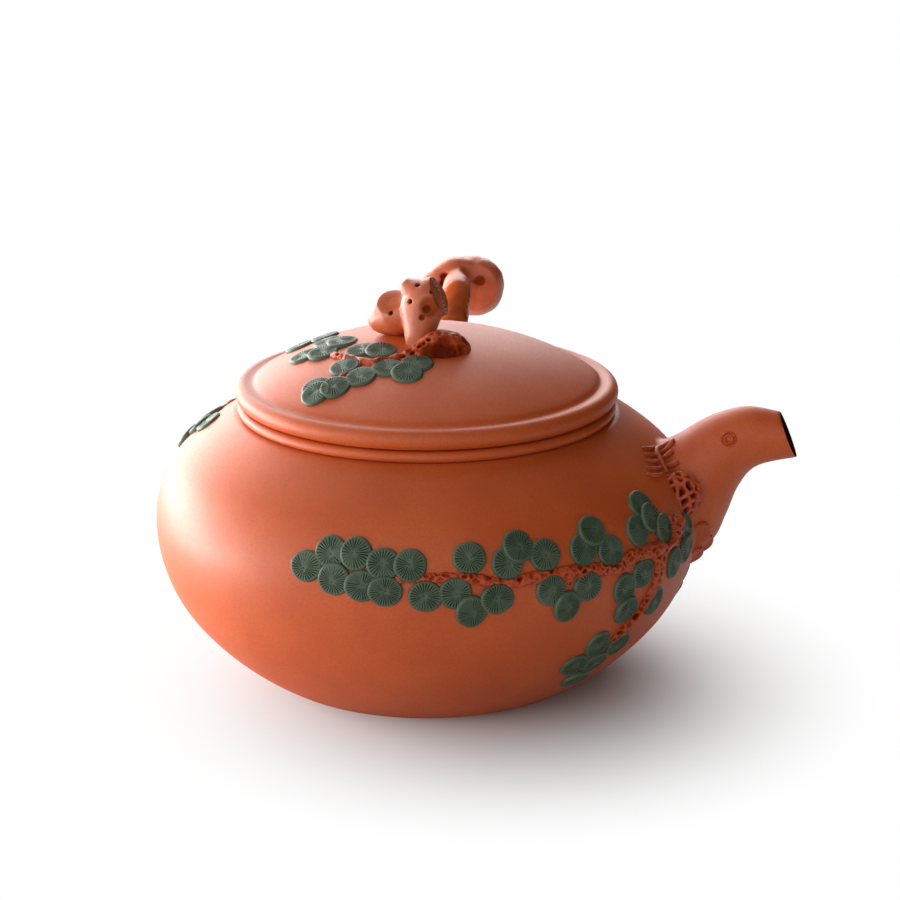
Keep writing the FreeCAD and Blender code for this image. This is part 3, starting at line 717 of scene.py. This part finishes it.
def tuft_of_pads(spots, seed):
    """Pads in one mesh, where each later pad leans up on the earlier ones that it laps over."""
    chance = random.Random(seed)
    whole = bmesh.new()
    for i, spot in enumerate(spots):
        place, faces, bends = spot
        under = [other[0] for other in spots[:i] if (other[0] - place).length < LAP_REACH * PAD_R]
        side, up = upright(faces)
        lean = Vector((0, 0))
        for other in under:
            lean += Vector(((other - place).dot(side), (other - place).dot(up))).normalized()
        join_in(whole, pressed_pad(spot, lean.normalized() * PAD_LAP / PAD_R, chance))
    return whole


for seed, (name, places) in enumerate(TUFTS.items()):
    settle(tuft_of_pads([on_pot(*place) for place in places], seed + 20), name + "_pads", "pot",
           GREEN_CLAY, (name,), crease=PAD_CREASE)


# Pine branches in relief: rolled snakes of clay pressed on the belly and pricked all over to look like bark.
# One crosses the front from the spout root, one hangs down beside it, one runs round the back.
BRANCHES = {  # angle, height, radius along each
    "pine_branch": (
        (-12.4, 0.0390, 0.0018), (-15, 0.0376, 0.0018), (-19, 0.0363, 0.0017), (-24, 0.0361, 0.0016),
        (-30, 0.0369, 0.0015), (-37, 0.0358, 0.0015), (-41, 0.0363, 0.0014), (-47, 0.0370, 0.0014),
        (-55, 0.0370, 0.0013), (-62, 0.0368, 0.0012), (-69, 0.0382, 0.0011), (-76, 0.0383, 0.0009),
        (-82, 0.0382, 0.0007)),
    "lower_branch": (
        (-22.3, 0.0354, 0.0014), (-23.1, 0.0324, 0.0013), (-23.8, 0.0294, 0.0012), (-26, 0.0258, 0.0011),
        (-29.4, 0.0226, 0.0010), (-33.5, 0.0194, 0.0008)),
    "back_branch": (
        (113, 0.0475, 0.0020), (128, 0.0486, 0.0017), (145, 0.0480, 0.0015), (160, 0.0492, 0.0012),
        (168, 0.0490, 0.0010), (174, 0.0488, 0.0008)),
}
SPUR_EVERY, SPUR_LONG, SPUR_SLANT, SPUR_THIN = 2, (1.5, 2.1), (0.4, 1.4), (0.6, 0.5, 0.35)
BRANCH_VOXEL, BRANCH_SOFT = 0.0002, 2
BRANCH_LUMPS = ((0.00035, 0.0024), (0.00016, 0.0008))
BARK_NET = (0.0013, 0.00065)
UNDER_REACH, UNDER_EDGE = 1.4, 0.96
BARK_DARK, BARK_MID, BARK_PALE = (0.24, 0.020, 0.003, 1), (0.42, 0.050, 0.008, 1), (0.50, 0.076, 0.016, 1)
# Painted shade colour for the bark pits and holes.
BARK_HOLLOW_SHADE = (0.075, 0.008, 0.003, 1)
BARK_CLAY = fired_clay("bark_clay", BARK_DARK, BARK_MID, BARK_PALE, rough=0.48, bump=0.5, hollow=BARK_HOLLOW_SHADE)


def spurs_of(bm, places, chance):
    """Short broken side twigs along a branch, to one side and the other."""
    for i, (angle, z, radius) in enumerate(places[1:-1:SPUR_EVERY]):
        aside = (-1) ** i * chance.uniform(*SPUR_LONG) * radius
        foot, tip = on_pot(angle, z)[0], on_pot(angle - chance.uniform(*SPUR_SLANT), z + aside)[0]
        spur = [(place, radius * thin) for place, thin in zip((foot, (foot + tip) / 2, tip), SPUR_THIN)]
        roll_of_clay(bm, spur, sides=12)


def make_room(bm, spots):
    """Presses a branch down under the pads that lie over it."""
    near = kdtree.KDTree(len(spots))
    for i, (place, faces, bends) in enumerate(spots):
        near.insert(place, i)
    near.balance()
    for vert in bm.verts:
        for found, i, apart in near.find_range(vert.co, UNDER_REACH * PAD_R):
            place, faces, bends = spots[i]
            rise = (vert.co - place).dot(faces)
            if rise > -PAD_SINK / 2 and (vert.co - place - faces * rise).length < UNDER_EDGE * PAD_R:
                vert.co -= faces * (rise + PAD_SINK / 2)


pad_spots = [on_pot(*place) for places in TUFTS.values() for place in places]
for seed, (name, places) in enumerate(BRANCHES.items()):
    bm = bmesh.new()
    roll_of_clay(bm, [(on_pot(angle, z)[0], radius) for angle, z, radius in places])
    spurs_of(bm, places, random.Random(seed + 11))
    bm = one_skin(bm, BRANCH_VOXEL, BRANCH_SOFT)
    worked(bm, BRANCH_LUMPS, seed + 5, net=BARK_NET)
    make_room(bm, pad_spots)
    settle(bm, name + "_bark", "pot", BARK_CLAY, (name,))


# Pine cone, needle sprig, knot eye and bark scales: small pressed ornaments round the spout root.
# Bark clay, but for the knot eye, which is pinched out of the spout's own clay.
CONE_AT, CONE_FACES, CONE_LEAN = (-0.0040, -0.0114, 0.0411), (0.26, -0.96, 0.1), math.radians(-12)
CONE_HALF = (0.0024, 0.0048, 0.0056)
CONE_SCALES, CONE_PIT, CONE_TAPER, CONE_LOOSE = 74, 0.00065, 0.14, 0.13
CONE_RIDGE, CONE_SLOPE, CONE_LUMP, CONE_LUMPS_ROUND = 0.10, 0.12, 0.0005, 4.3
NEEDLES, NEEDLE_R = 5, 0.00045
RIB_R, LEAF_R = 1.5 * NEEDLE_R, 1.3 * NEEDLE_R
NEEDLE_FIRST, NEEDLE_STEP, NEEDLE_RUN = (-8.5, 0.0468), (2.2, 0.00075), (-6.2, 0.0012)
NEEDLE_RIB = (  # along the spout, aside and up
    (-0.0063, -0.0108, 0.0464), (-0.0077, -0.0089, 0.0481), (-0.0087, -0.0062, 0.0493),
    (-0.0072, -0.0030, 0.0497), (-0.0051, -0.0021, 0.0507),
)
NEEDLE_LEAVES = (
    ((-0.0085, -0.0066, 0.0491), (-0.0068, -0.0044, 0.0497), (-0.0054, -0.0026, 0.0503)),
    ((-0.0079, -0.0082, 0.0486), (-0.0066, -0.0064, 0.0488), (-0.0054, -0.0047, 0.0489)),
    ((-0.0070, -0.0098, 0.0474), (-0.0056, -0.0082, 0.0474), (-0.0043, -0.0067, 0.0473)),
)
NEEDLE_THIN = (0.5, 0.85, 1.0, 0.9, 0.45)
NEEDLE_PROUD = 0.4
KNOT_AT, KNOT_R = (0.0058, -0.0058, 0.0524), 0.0017
KNOT_RINGS = (  # distance from the middle, height
    (0, -0.0003), (0.0003, -0.0002), (0.0006, 0.0004), (0.0008, 0.0005), (0.0010, 0.0002), (0.0012, -0.0001),
    (0.0014, 0.0003), (0.00155, 0.0001), (KNOT_R, -0.0003), (KNOT_R, -0.0020), (0, -0.0020),
)
SCALES = (  # place, way it faces, along the spout, aside and up
    ((0.0006, -0.0077, 0.0331), (0.39, -0.85, -0.35)),
    ((0.0013, -0.0054, 0.0301), (0.52, -0.64, -0.56)),
    ((-0.0006, -0.0056, 0.0276), (0.5, -0.6, -0.6)),
)
SCALE_R, SCALE_H, SCALE_STRETCH = 0.0025, 0.0008, (0.92, 1.08)
SCALE_EDGE = (  # share of the radius, share of the height
    (0, 0.72), (0.4, 0.70), (0.66, 0.74), (0.80, 0.92), (0.90, 1.0), (0.97, 0.78), (1.0, 0.2),
    (0.96, -1.5), (0.8, -4.5), (0, -4.5),
)
SCALE_VOXEL, SCALE_SOFT = 0.00016, 2
SCALE_LUMPS = ((0.00022, 0.0028), (0.00006, 0.0009))


def facing(place, faces):
    """Matrix that stands a shape made on the flat on a place, facing a given way, upright."""
    turn = Matrix((*upright(faces), faces)).transposed().to_4x4()
    return Matrix.Translation(place) @ turn


def pine_cone():
    """Egg with a net of ridges round a pit for each scale, the scales set in a spiral."""
    chance = random.Random(17)
    tips = kdtree.KDTree(CONE_SCALES)
    for i in range(CONE_SCALES):
        level, turn = 1 - 2 * (i + 0.5) / CONE_SCALES, i * math.pi * (3 - math.sqrt(5))
        round_r = math.sqrt(1 - level * level)
        loose = Vector([chance.uniform(-CONE_LOOSE, CONE_LOOSE) for _ in range(3)])
        tips.insert(Vector((round_r * math.cos(turn), level, round_r * math.sin(turn))) + loose, i)
    tips.balance()
    bm = bmesh.new()
    bmesh.ops.create_icosphere(bm, subdivisions=6, radius=1.0)
    mark = bm.verts.layers.float.new("hollow")
    for vert in bm.verts:
        ball = vert.co.copy()
        (_, _, first), (_, _, second) = tips.find_n(ball, 2)
        pit = clipped((second - first - CONE_RIDGE) / CONE_SLOPE)
        # Painted shade in the pits between the scales.
        vert[mark] = pit
        wide = CONE_HALF[1] * (1 + CONE_TAPER * ball.y)
        vert.co = Vector((ball.x * wide, ball.y * CONE_HALF[2], ball.z * CONE_HALF[0]))
        vert.co -= ball * (CONE_PIT * pit + CONE_LUMP * noise.noise(ball * CONE_LUMPS_ROUND))
    stand = facing(by_belly(*CONE_AT), by_spout(*CONE_FACES).normalized())
    bmesh.ops.transform(bm, matrix=stand @ Matrix.Rotation(CONE_LEAN, 4, "Z"), verts=bm.verts)
    return bm


def rolled_on(bm, points, radius):
    """Thin roll pressed along the skin of the pot or the spout."""
    places = []
    for point, thin in zip(points, NEEDLE_THIN):
        place, faces = on_skin(point)
        places.append((place + faces * radius * NEEDLE_PROUD, radius * thin))
    roll_of_clay(bm, places, sides=10, per=4)


settle(pine_cone(), "pine_cone_scales", "pot", BARK_CLAY, ("pine_cone",),
       crease=math.radians(60))

bm = bmesh.new()
shares = [step / (len(NEEDLE_THIN) - 1) for step in range(len(NEEDLE_THIN))]
for i in range(NEEDLES):
    angle, z = NEEDLE_FIRST[0] + i * NEEDLE_STEP[0], NEEDLE_FIRST[1] + i * NEEDLE_STEP[1]
    rolled_on(bm, [on_pot(angle + NEEDLE_RUN[0] * t, z + NEEDLE_RUN[1] * t * t)[0] for t in shares], NEEDLE_R)
rolled_on(bm, [by_belly(*place) for place in NEEDLE_RIB], RIB_R)
for leaf in NEEDLE_LEAVES:
    rolled_on(bm, [by_belly(*place) for place in leaf], LEAF_R)
settle(bm, "needle_sprig_rolls", "pot", BARK_CLAY, ("needle_spray",))

bm = turned(KNOT_RINGS, steps=48)
bmesh.ops.transform(bm, matrix=facing(*on_skin(by_belly(*KNOT_AT))), verts=bm.verts)
settle(bm, "spout_knot_eye", "pot", RED_CLAY, ("spout_knot",))

whole = bmesh.new()
for place, faces in SCALES:
    bm = turned(SCALE_EDGE, steps=48)
    wide, long = (SCALE_R * stretch for stretch in SCALE_STRETCH)
    bmesh.ops.scale(bm, vec=(wide, long, SCALE_H), verts=bm.verts)
    bmesh.ops.transform(bm, matrix=facing(by_belly(*place), by_spout(*faces).normalized()), verts=bm.verts)
    join_in(whole, bm)
whole = one_skin(whole, SCALE_VOXEL, SCALE_SOFT)
worked(whole, SCALE_LUMPS, 31)
settle(whole, "bark_scale_skin", "pot", BARK_CLAY, ("bark_scales",))


# Lid shell: a shallow dome with an air hole, a rolled lip over a shallow valley, and a flange that drops
# into the mouth. Same red clay as the pot, burnished on the outside.
LID_Z = 0.0574
DOME_R, DOME_TOP, DOME_SPHERE, LID_T = 0.0344, 0.0716, 0.0675, 0.003
LIP_R, LIP_ROLL, VALLEY_R, VALLEY_DIP = 0.0372, 0.0020, 0.0357, 0.00025
FLANGE_R, FLANGE_T, FLANGE_DEPTH, FLANGE_EASE = 0.03215, 0.0028, 0.0074, 0.0004
VENT_AT, VENT_R, VENT_LONG = (-0.0035, 0.0050), 0.0010, 0.02
DOME_STEPS, VALLEY_STEPS, LIP_STEPS, UNDER_STEPS = 40, 6, 20, 30


def dome_height(reach, inset=0.0):
    return DOME_TOP - DOME_SPHERE + math.sqrt((DOME_SPHERE - inset) ** 2 - reach * reach)


def dome_line(reach, steps, inset=0.0):
    """Points of the dome from its middle out to a reach."""
    return [Vector((reach * i / steps, dome_height(reach * i / steps, inset))) for i in range(steps + 1)]


def lid_outline():
    """Open outline of the lid, from the top of the dome over lip and flange to the dome's underside."""
    dome = dome_line(DOME_R, DOME_STEPS)
    lip_top = Vector((LIP_R, LID_Z + 2 * LIP_ROLL))
    through = [tuple(dome[-3]), tuple(dome[-1]), (VALLEY_R, lip_top.y - VALLEY_DIP), tuple(lip_top)]
    valley = [Vector(row) for row in eased_run(through, VALLEY_STEPS)][VALLEY_STEPS:-1]
    roll = arc(Vector((LIP_R, LID_Z + LIP_ROLL)), LIP_ROLL, math.radians(90), math.radians(-90), LIP_STEPS)
    inner, foot = FLANGE_R - FLANGE_T, LID_Z - FLANGE_DEPTH
    flange = [Vector((FLANGE_R, LID_Z)), Vector((FLANGE_R, foot + FLANGE_EASE)),
              Vector((FLANGE_R - FLANGE_EASE, foot)), Vector((inner + FLANGE_EASE, foot)),
              Vector((inner, foot + FLANGE_EASE))]
    under = dome_line(inner, UNDER_STEPS, LID_T)
    return dome[:-1] + valley + roll + flange + under[::-1]


vent = bmesh.new()
bmesh.ops.create_cone(vent, cap_ends=True, segments=40, radius1=VENT_R, radius2=VENT_R, depth=VENT_LONG,
                      matrix=Matrix.Translation((*VENT_AT, DOME_TOP)))
settle(bored(turned(lid_outline()), vent), "lid_shell", "lid", RED_CLAY,
       ("lid_plate", "lid_lip", "lid_flange"))


# Knob: a thick cut stub and a rounded limb that bends down to the lid, modelled as old wood, and a bark root
# in front of them. Branch clay with pricked ant holes and rings on the cut; the root is bark clay. The holes,
# a dish on the limb and the front of the root carry painted shade.
MM = 0.001
STUB = (  # millimetres right, back and up from the top of the dome, radius
    (1.8, -9.4, -5.0, 2.2), (0.6, -8.2, 0.2, 3.0), (0.6, -6.9, 4.5, 4.1), (1.1, -5.9, 7.2, 4.6),
    (5.2, -5.5, 8.6, 3.8),
)
STUB_CROWN = ((-2.9, -6.3, 10.7, 1.7), (-1.9, -6.2, 9.8, 2.7), (-0.6, -6.1, 8.8, 3.4), (0.8, -6.0, 7.6, 3.8))
STUB_CUT_AT, STUB_CUT_FACES = (3.7, -4.8, 9.4), Vector((0.90, 0.0, 0.42)).normalized()
LIMB = (
    (0.7, -5.6, 5.6, 3.7), (-1.8, -4.6, 4.9, 4.0), (-5.5, -4.0, 4.0, 4.6), (-7.6, -3.8, 3.2, 4.1),
    (-9.5, -3.8, 2.2, 2.9),
)
ROOT = (
    (9.6, -7.4, -2.2, 2.0), (8.6, -8.8, -2.0, 3.4), (6.6, -10.6, -1.4, 4.1), (4.0, -12.6, -1.1, 3.5),
    (1.2, -14.2, -1.9, 2.1), (-1.8, -15.6, -2.6, 1.0),
)
# Ant holes, knot dents and the dish on the limb, darkened with painted shade; the dish paints the shade on
# the limb's upper face by the stub.
KNOB_HOLES_AND_SHADE = (  # place over the dome, radius, depth, darkness
    ((0.2, -8.3, 11.1), 0.55, 0.8, 1.0), ((-0.9, -10.0, 8.1), 0.55, 0.8, 1.0),
    ((3.8, -9.1, 10.2), 0.5, 0.7, 1.0), ((2.6, -10.3, 6.7), 1.1, 0.25, 0.8),
    ((3.1, -9.9, 7.2), 2.4, 0.1, 0.36), ((1.7, -10.7, 5.2), 0.7, 0.2, 0.8),
    ((-5.6, -6.8, 7.6), 3.2, 0.9, 0.2), ((-5.2, -8.5, 5.0), 0.55, 0.8, 1.0),
)
# Ant holes along the ridge, and broad shallow dents darkened with painted shade on the root's front face,
# which lies in shadow.
ROOT_HOLES_AND_SHADE = (
    ((-0.6, -16.3, -1.7), 0.5, 0.5, 1.0), ((1.0, -15.8, -0.7), 0.6, 0.6, 1.0),
    ((2.0, -15.2, 0.6), 0.6, 0.6, 1.0), ((3.0, -14.9, 1.2), 0.5, 0.6, 1.0),
    ((3.9, -14.4, 1.8), 0.6, 0.6, 1.0), ((4.6, -15.9, -0.5), 2.2, 0.5, 0.8),
    ((6.5, -15.2, -0.5), 2.4, 0.6, 0.9), ((8.3, -14.3, -1.1), 2.4, 0.5, 0.8),
    ((7.2, -14.0, 1.2), 1.8, 0.4, 0.6), ((10.0, -12.8, -0.9), 1.8, 0.2, 0.5),
)
KNOB_VOXEL, KNOB_SOFT, ROOT_SOFT = 0.0002, 5, 3
KNOB_LUMPS = ((0.00022, 0.0042), (0.00006, 0.0014))
ROOT_LUMPS, ROOT_NET = ((0.0004, 0.0030), (0.00020, 0.0010)), (0.0019, 0.00025)
RING_STEP, RING_DEEP, RING_DARK, RING_DROP = 0.00085, 0.00020, 0.35, 0.0012
RING_WAVER, RING_WAVES = 0.0003, 400
CUT_NEAR, CUT_FACING = 0.0007, 0.75


def over_dome(x, y, rise):
    """Place over the lid from millimetres, counted up from the top of its dome."""
    return Vector((x * MM, y * MM, DOME_TOP + rise * MM))


def knob_roll(bm, rows, sides):
    roll_of_clay(bm, [(over_dome(x, y, rise), radius * MM) for x, y, rise, radius in rows], sides=sides)


def on_knob(holes):
    return [(over_dome(*place), radius * MM, deep * MM, darkness) for place, radius, deep, darkness in holes]


def knob_skin():
    """Stub with its sawn cut, and limb, under one skin, with ant holes and the rings of the cut."""
    bm = bmesh.new()
    for rows in (STUB, STUB_CROWN):
        knob_roll(bm, rows, 32)
    cut = over_dome(*STUB_CUT_AT)
    trimmed = bmesh.ops.bisect_plane(bm, geom=bm.verts[:] + bm.edges[:] + bm.faces[:], plane_co=cut,
                                     plane_no=STUB_CUT_FACES, clear_outer=True)
    rim = [part for part in trimmed["geom_cut"] if isinstance(part, bmesh.types.BMEdge)]
    bmesh.ops.edgeloop_fill(bm, edges=rim)
    knob_roll(bm, LIMB, 32)
    bm = one_skin(bm, KNOB_VOXEL, KNOB_SOFT)
    worked(bm, KNOB_LUMPS, 41, on_knob(KNOB_HOLES_AND_SHADE))
    heart = cut - Vector((0, 0, RING_DROP))
    mark = bm.verts.layers.float["hollow"]
    for vert in bm.verts:
        apart = vert.co - heart
        level = apart.dot(STUB_CUT_FACES)
        if abs(level) < CUT_NEAR and vert.normal.dot(STUB_CUT_FACES) > CUT_FACING:
            waver = RING_WAVER * noise.noise(vert.co * RING_WAVES)
            reach = (apart - STUB_CUT_FACES * level).length + waver
            groove = (0.5 + 0.5 * math.cos(2 * math.pi * reach / RING_STEP)) ** 2
            vert.co -= STUB_CUT_FACES * RING_DEEP * groove
            vert[mark] = max(vert[mark], RING_DARK * groove)
    return bm


settle(knob_skin(), "knob_wood", "lid", BRANCH_CLAY, ("knob_stub", "knob_limb"))

bm = bmesh.new()
knob_roll(bm, ROOT, 28)
bm = one_skin(bm, KNOB_VOXEL, ROOT_SOFT)
worked(bm, ROOT_LUMPS, 43, on_knob(ROOT_HOLES_AND_SHADE), net=ROOT_NET)
settle(bm, "knob_root_bark", "lid", BARK_CLAY, ("knob_root",))


# Lid twigs and needle tufts: thin rolls of bark clay that run out from the knob, and grooved green pads
# like those on the pot, all pressed on the dome with slip.
LID_TWIGS = (  # angle, distance in from the dome's edge, radius
    ((-96, 0.0182, 0.0009), (-106, 0.0154, 0.0010), (-118, 0.0148, 0.0010), (-132, 0.0144, 0.0009),
     (-146, 0.0134, 0.0008), (-156, 0.0128, 0.0007)),
    ((-117, 0.0150, 0.0009), (-116.5, 0.0114, 0.0008), (-117.5, 0.0074, 0.0007)),
)
LID_TWIG_VOXEL, LID_TWIG_SOFT = 0.00018, 2
LID_TWIG_LUMPS, LID_TWIG_NET = ((0.00022, 0.0015), (0.00008, 0.0006)), (0.0011, 0.00035)
LID_TUFTS = {  # angle, distance in from the dome's edge
    "lid_tuft_back": ((176, 0.0066), (172, 0.0116), (-169, 0.0142), (-158, 0.0094), (-149.5, 0.0128),
                      (-157, 0.0172)),
    "lid_tuft_inner": ((-130, 0.0180), (-113, 0.0195)),
    "lid_tuft_front": ((-122, 0.0120), (-108, 0.0102), (-98, 0.0140), (-82, 0.0162), (-86, 0.0126)),
    "lid_tuft_edge": ((-123, 0.0050), (-114.5, 0.0060), (-120, 0.0034)),
}


def on_lid(angle, inset):
    reach, turn = DOME_R - inset, math.radians(angle)
    place = Vector((reach * math.cos(turn), reach * math.sin(turn), dome_height(reach)))
    return place, (place - Vector((0, 0, DOME_TOP - DOME_SPHERE))).normalized(), (DOME_SPHERE, DOME_SPHERE)


bm = bmesh.new()
for places in LID_TWIGS:
    roll_of_clay(bm, [(on_lid(angle, inset)[0], radius) for angle, inset, radius in places], sides=14)
bm = one_skin(bm, LID_TWIG_VOXEL, LID_TWIG_SOFT)
worked(bm, LID_TWIG_LUMPS, 51, net=LID_TWIG_NET)
make_room(bm, [on_lid(*place) for places in LID_TUFTS.values() for place in places])
settle(bm, "lid_twig_bark", "lid", BARK_CLAY, ("lid_twigs",))

for seed, (name, places) in enumerate(LID_TUFTS.items()):
    settle(tuft_of_pads([on_lid(*place) for place in places], seed + 60), name + "_pads", "lid",
           GREEN_CLAY, (name,), crease=PAD_CREASE)


# Floor: a sheet of white paper under the pot. It keeps the pot's shadow, and turns plain white further
# away, where the camera sees it.
FLOOR_HALF = 6.0
FLOOR_WHITE, FLOOR_ROUGH, FLOOR_SHINE = (0.70, 0.69, 0.68, 1), 0.9, 0.1
SHADOW_MIDDLE = (0.017, -0.004, 0)
SHADOW_NEAR, SHADOW_FAR = 0.018, 0.082

bm = bmesh.new()
bmesh.ops.create_grid(bm, x_segments=2, y_segments=2, size=FLOOR_HALF)
floor = as_object(bm, "floor")
paper = bpy.data.materials.new("white_paper")
paper.use_nodes = True
tree = paper.node_tree
sheet = tree.nodes["Principled BSDF"]
sheet.inputs["Base Color"].default_value = FLOOR_WHITE
sheet.inputs["Roughness"].default_value = FLOOR_ROUGH
sheet.inputs["Specular IOR Level"].default_value = FLOOR_SHINE
glow = tree.nodes.new("ShaderNodeEmission")
seen = tree.nodes.new("ShaderNodeLightPath")
apart = tree.nodes.new("ShaderNodeVectorMath")
apart.operation = "DISTANCE"
apart.inputs[1].default_value = SHADOW_MIDDLE
tree.links.new(tree.nodes.new("ShaderNodeTexCoord").outputs["Object"], apart.inputs[0])
fade = group_node(tree, "MapRange", From_Min=SHADOW_NEAR, From_Max=SHADOW_FAR)
fade.interpolation_type = "SMOOTHSTEP"
tree.links.new(apart.outputs["Value"], fade.inputs["Value"])
shown = tree.nodes.new("ShaderNodeMath")
shown.operation = "MULTIPLY"
tree.links.new(fade.outputs["Result"], shown.inputs[0])
tree.links.new(seen.outputs["Is Camera Ray"], shown.inputs[1])
blend = tree.nodes.new("ShaderNodeMixShader")
tree.links.new(shown.outputs["Value"], blend.inputs["Fac"])
tree.links.new(sheet.outputs["BSDF"], blend.inputs[1])
tree.links.new(glow.outputs["Emission"], blend.inputs[2])
tree.links.new(blend.outputs["Shader"], tree.nodes["Material Output"].inputs["Surface"])
floor.data.materials.append(paper)


# Light: three windows along the left, a pale wall and ceiling at the back, a white card on the table at
# the left, and a room that is pale in front and falls off to dark above.
LAMPS = (  # name, place, width and height, power
    ("window", (-0.78, 0.27, 0.12), (0.50, 0.24), 8.4),
    ("near_window", (-0.643, -0.521, 0.17), (0.44, 0.26), 0.7),
    ("far_window", (-0.60, 0.68, 0.16), (0.30, 0.28), 2.0),
    ("pale_wall", (-0.50, 0.95, 0.50), (1.30, 0.70), 13.0),
    ("ceiling", (-0.34, 0.53, 0.90), (1.00, 0.80), 4.4),
    ("white_card", (-0.25, -0.055, 0.013), (0.15, 0.026), 0.48),
)
LAMPS_FACE = Vector((0, 0, 0.035))
ROOM_WHITE, ROOM_PALE, ROOM_FALL = (1, 1, 1, 1), 2.7, 3.0
ROOM_PALE_SIDE = (-0.46, -0.78, -0.43)

world = bpy.data.worlds.new("room")
bpy.context.scene.world = world
world.use_nodes = True
tree = world.node_tree
side = tree.nodes.new("ShaderNodeVectorMath")
side.operation = "DOT_PRODUCT"
side.inputs[1].default_value = ROOM_PALE_SIDE
tree.links.new(tree.nodes.new("ShaderNodeTexCoord").outputs["Generated"], side.inputs[0])
fall = tree.nodes.new("ShaderNodeMath")
fall.operation = "POWER"
fall.inputs[1].default_value = ROOM_FALL
tree.links.new(ranged(tree, side.outputs["Value"], -1.0, 1.0, 0.0, 1.0), fall.inputs[0])
room = ranged(tree, fall.outputs["Value"], 0.0, 1.0, 0.0, ROOM_PALE)
tree.links.new(room, tree.nodes["Background"].inputs["Strength"])
tree.nodes["Background"].inputs["Color"].default_value = ROOM_WHITE
for name, place, size, power in LAMPS:
    lamp = bpy.data.lights.new(name, "AREA")
    lamp.shape, lamp.size, lamp.size_y, lamp.energy = "RECTANGLE", *size, power
    light = bpy.data.objects.new(name, lamp)
    light.location = place
    light.rotation_euler = (LAMPS_FACE - light.location).to_track_quat("-Z", "Y").to_euler()
    light.visible_camera = False
    bpy.context.scene.collection.objects.link(light)


# Camera: where the photograph was taken from, above the rim and a little to the right of the front,
# with a long lens.
CAMERA_AT = (0.1052, -0.4220, 0.1805)
CAMERA_DIP, CAMERA_SIDE = math.radians(17.2), math.radians(13.37)
LENS, SENSOR = 88.0, 36.0

eye = bpy.data.cameras.new("camera")
eye.lens, eye.sensor_width = LENS, SENSOR
camera = bpy.data.objects.new("camera", eye)
camera.location, camera.rotation_euler = CAMERA_AT, (math.pi / 2 - CAMERA_DIP, 0, CAMERA_SIDE)
bpy.context.scene.collection.objects.link(camera)
bpy.context.scene.camera = camera
bpy.context.scene.view_settings.view_transform = "Standard"
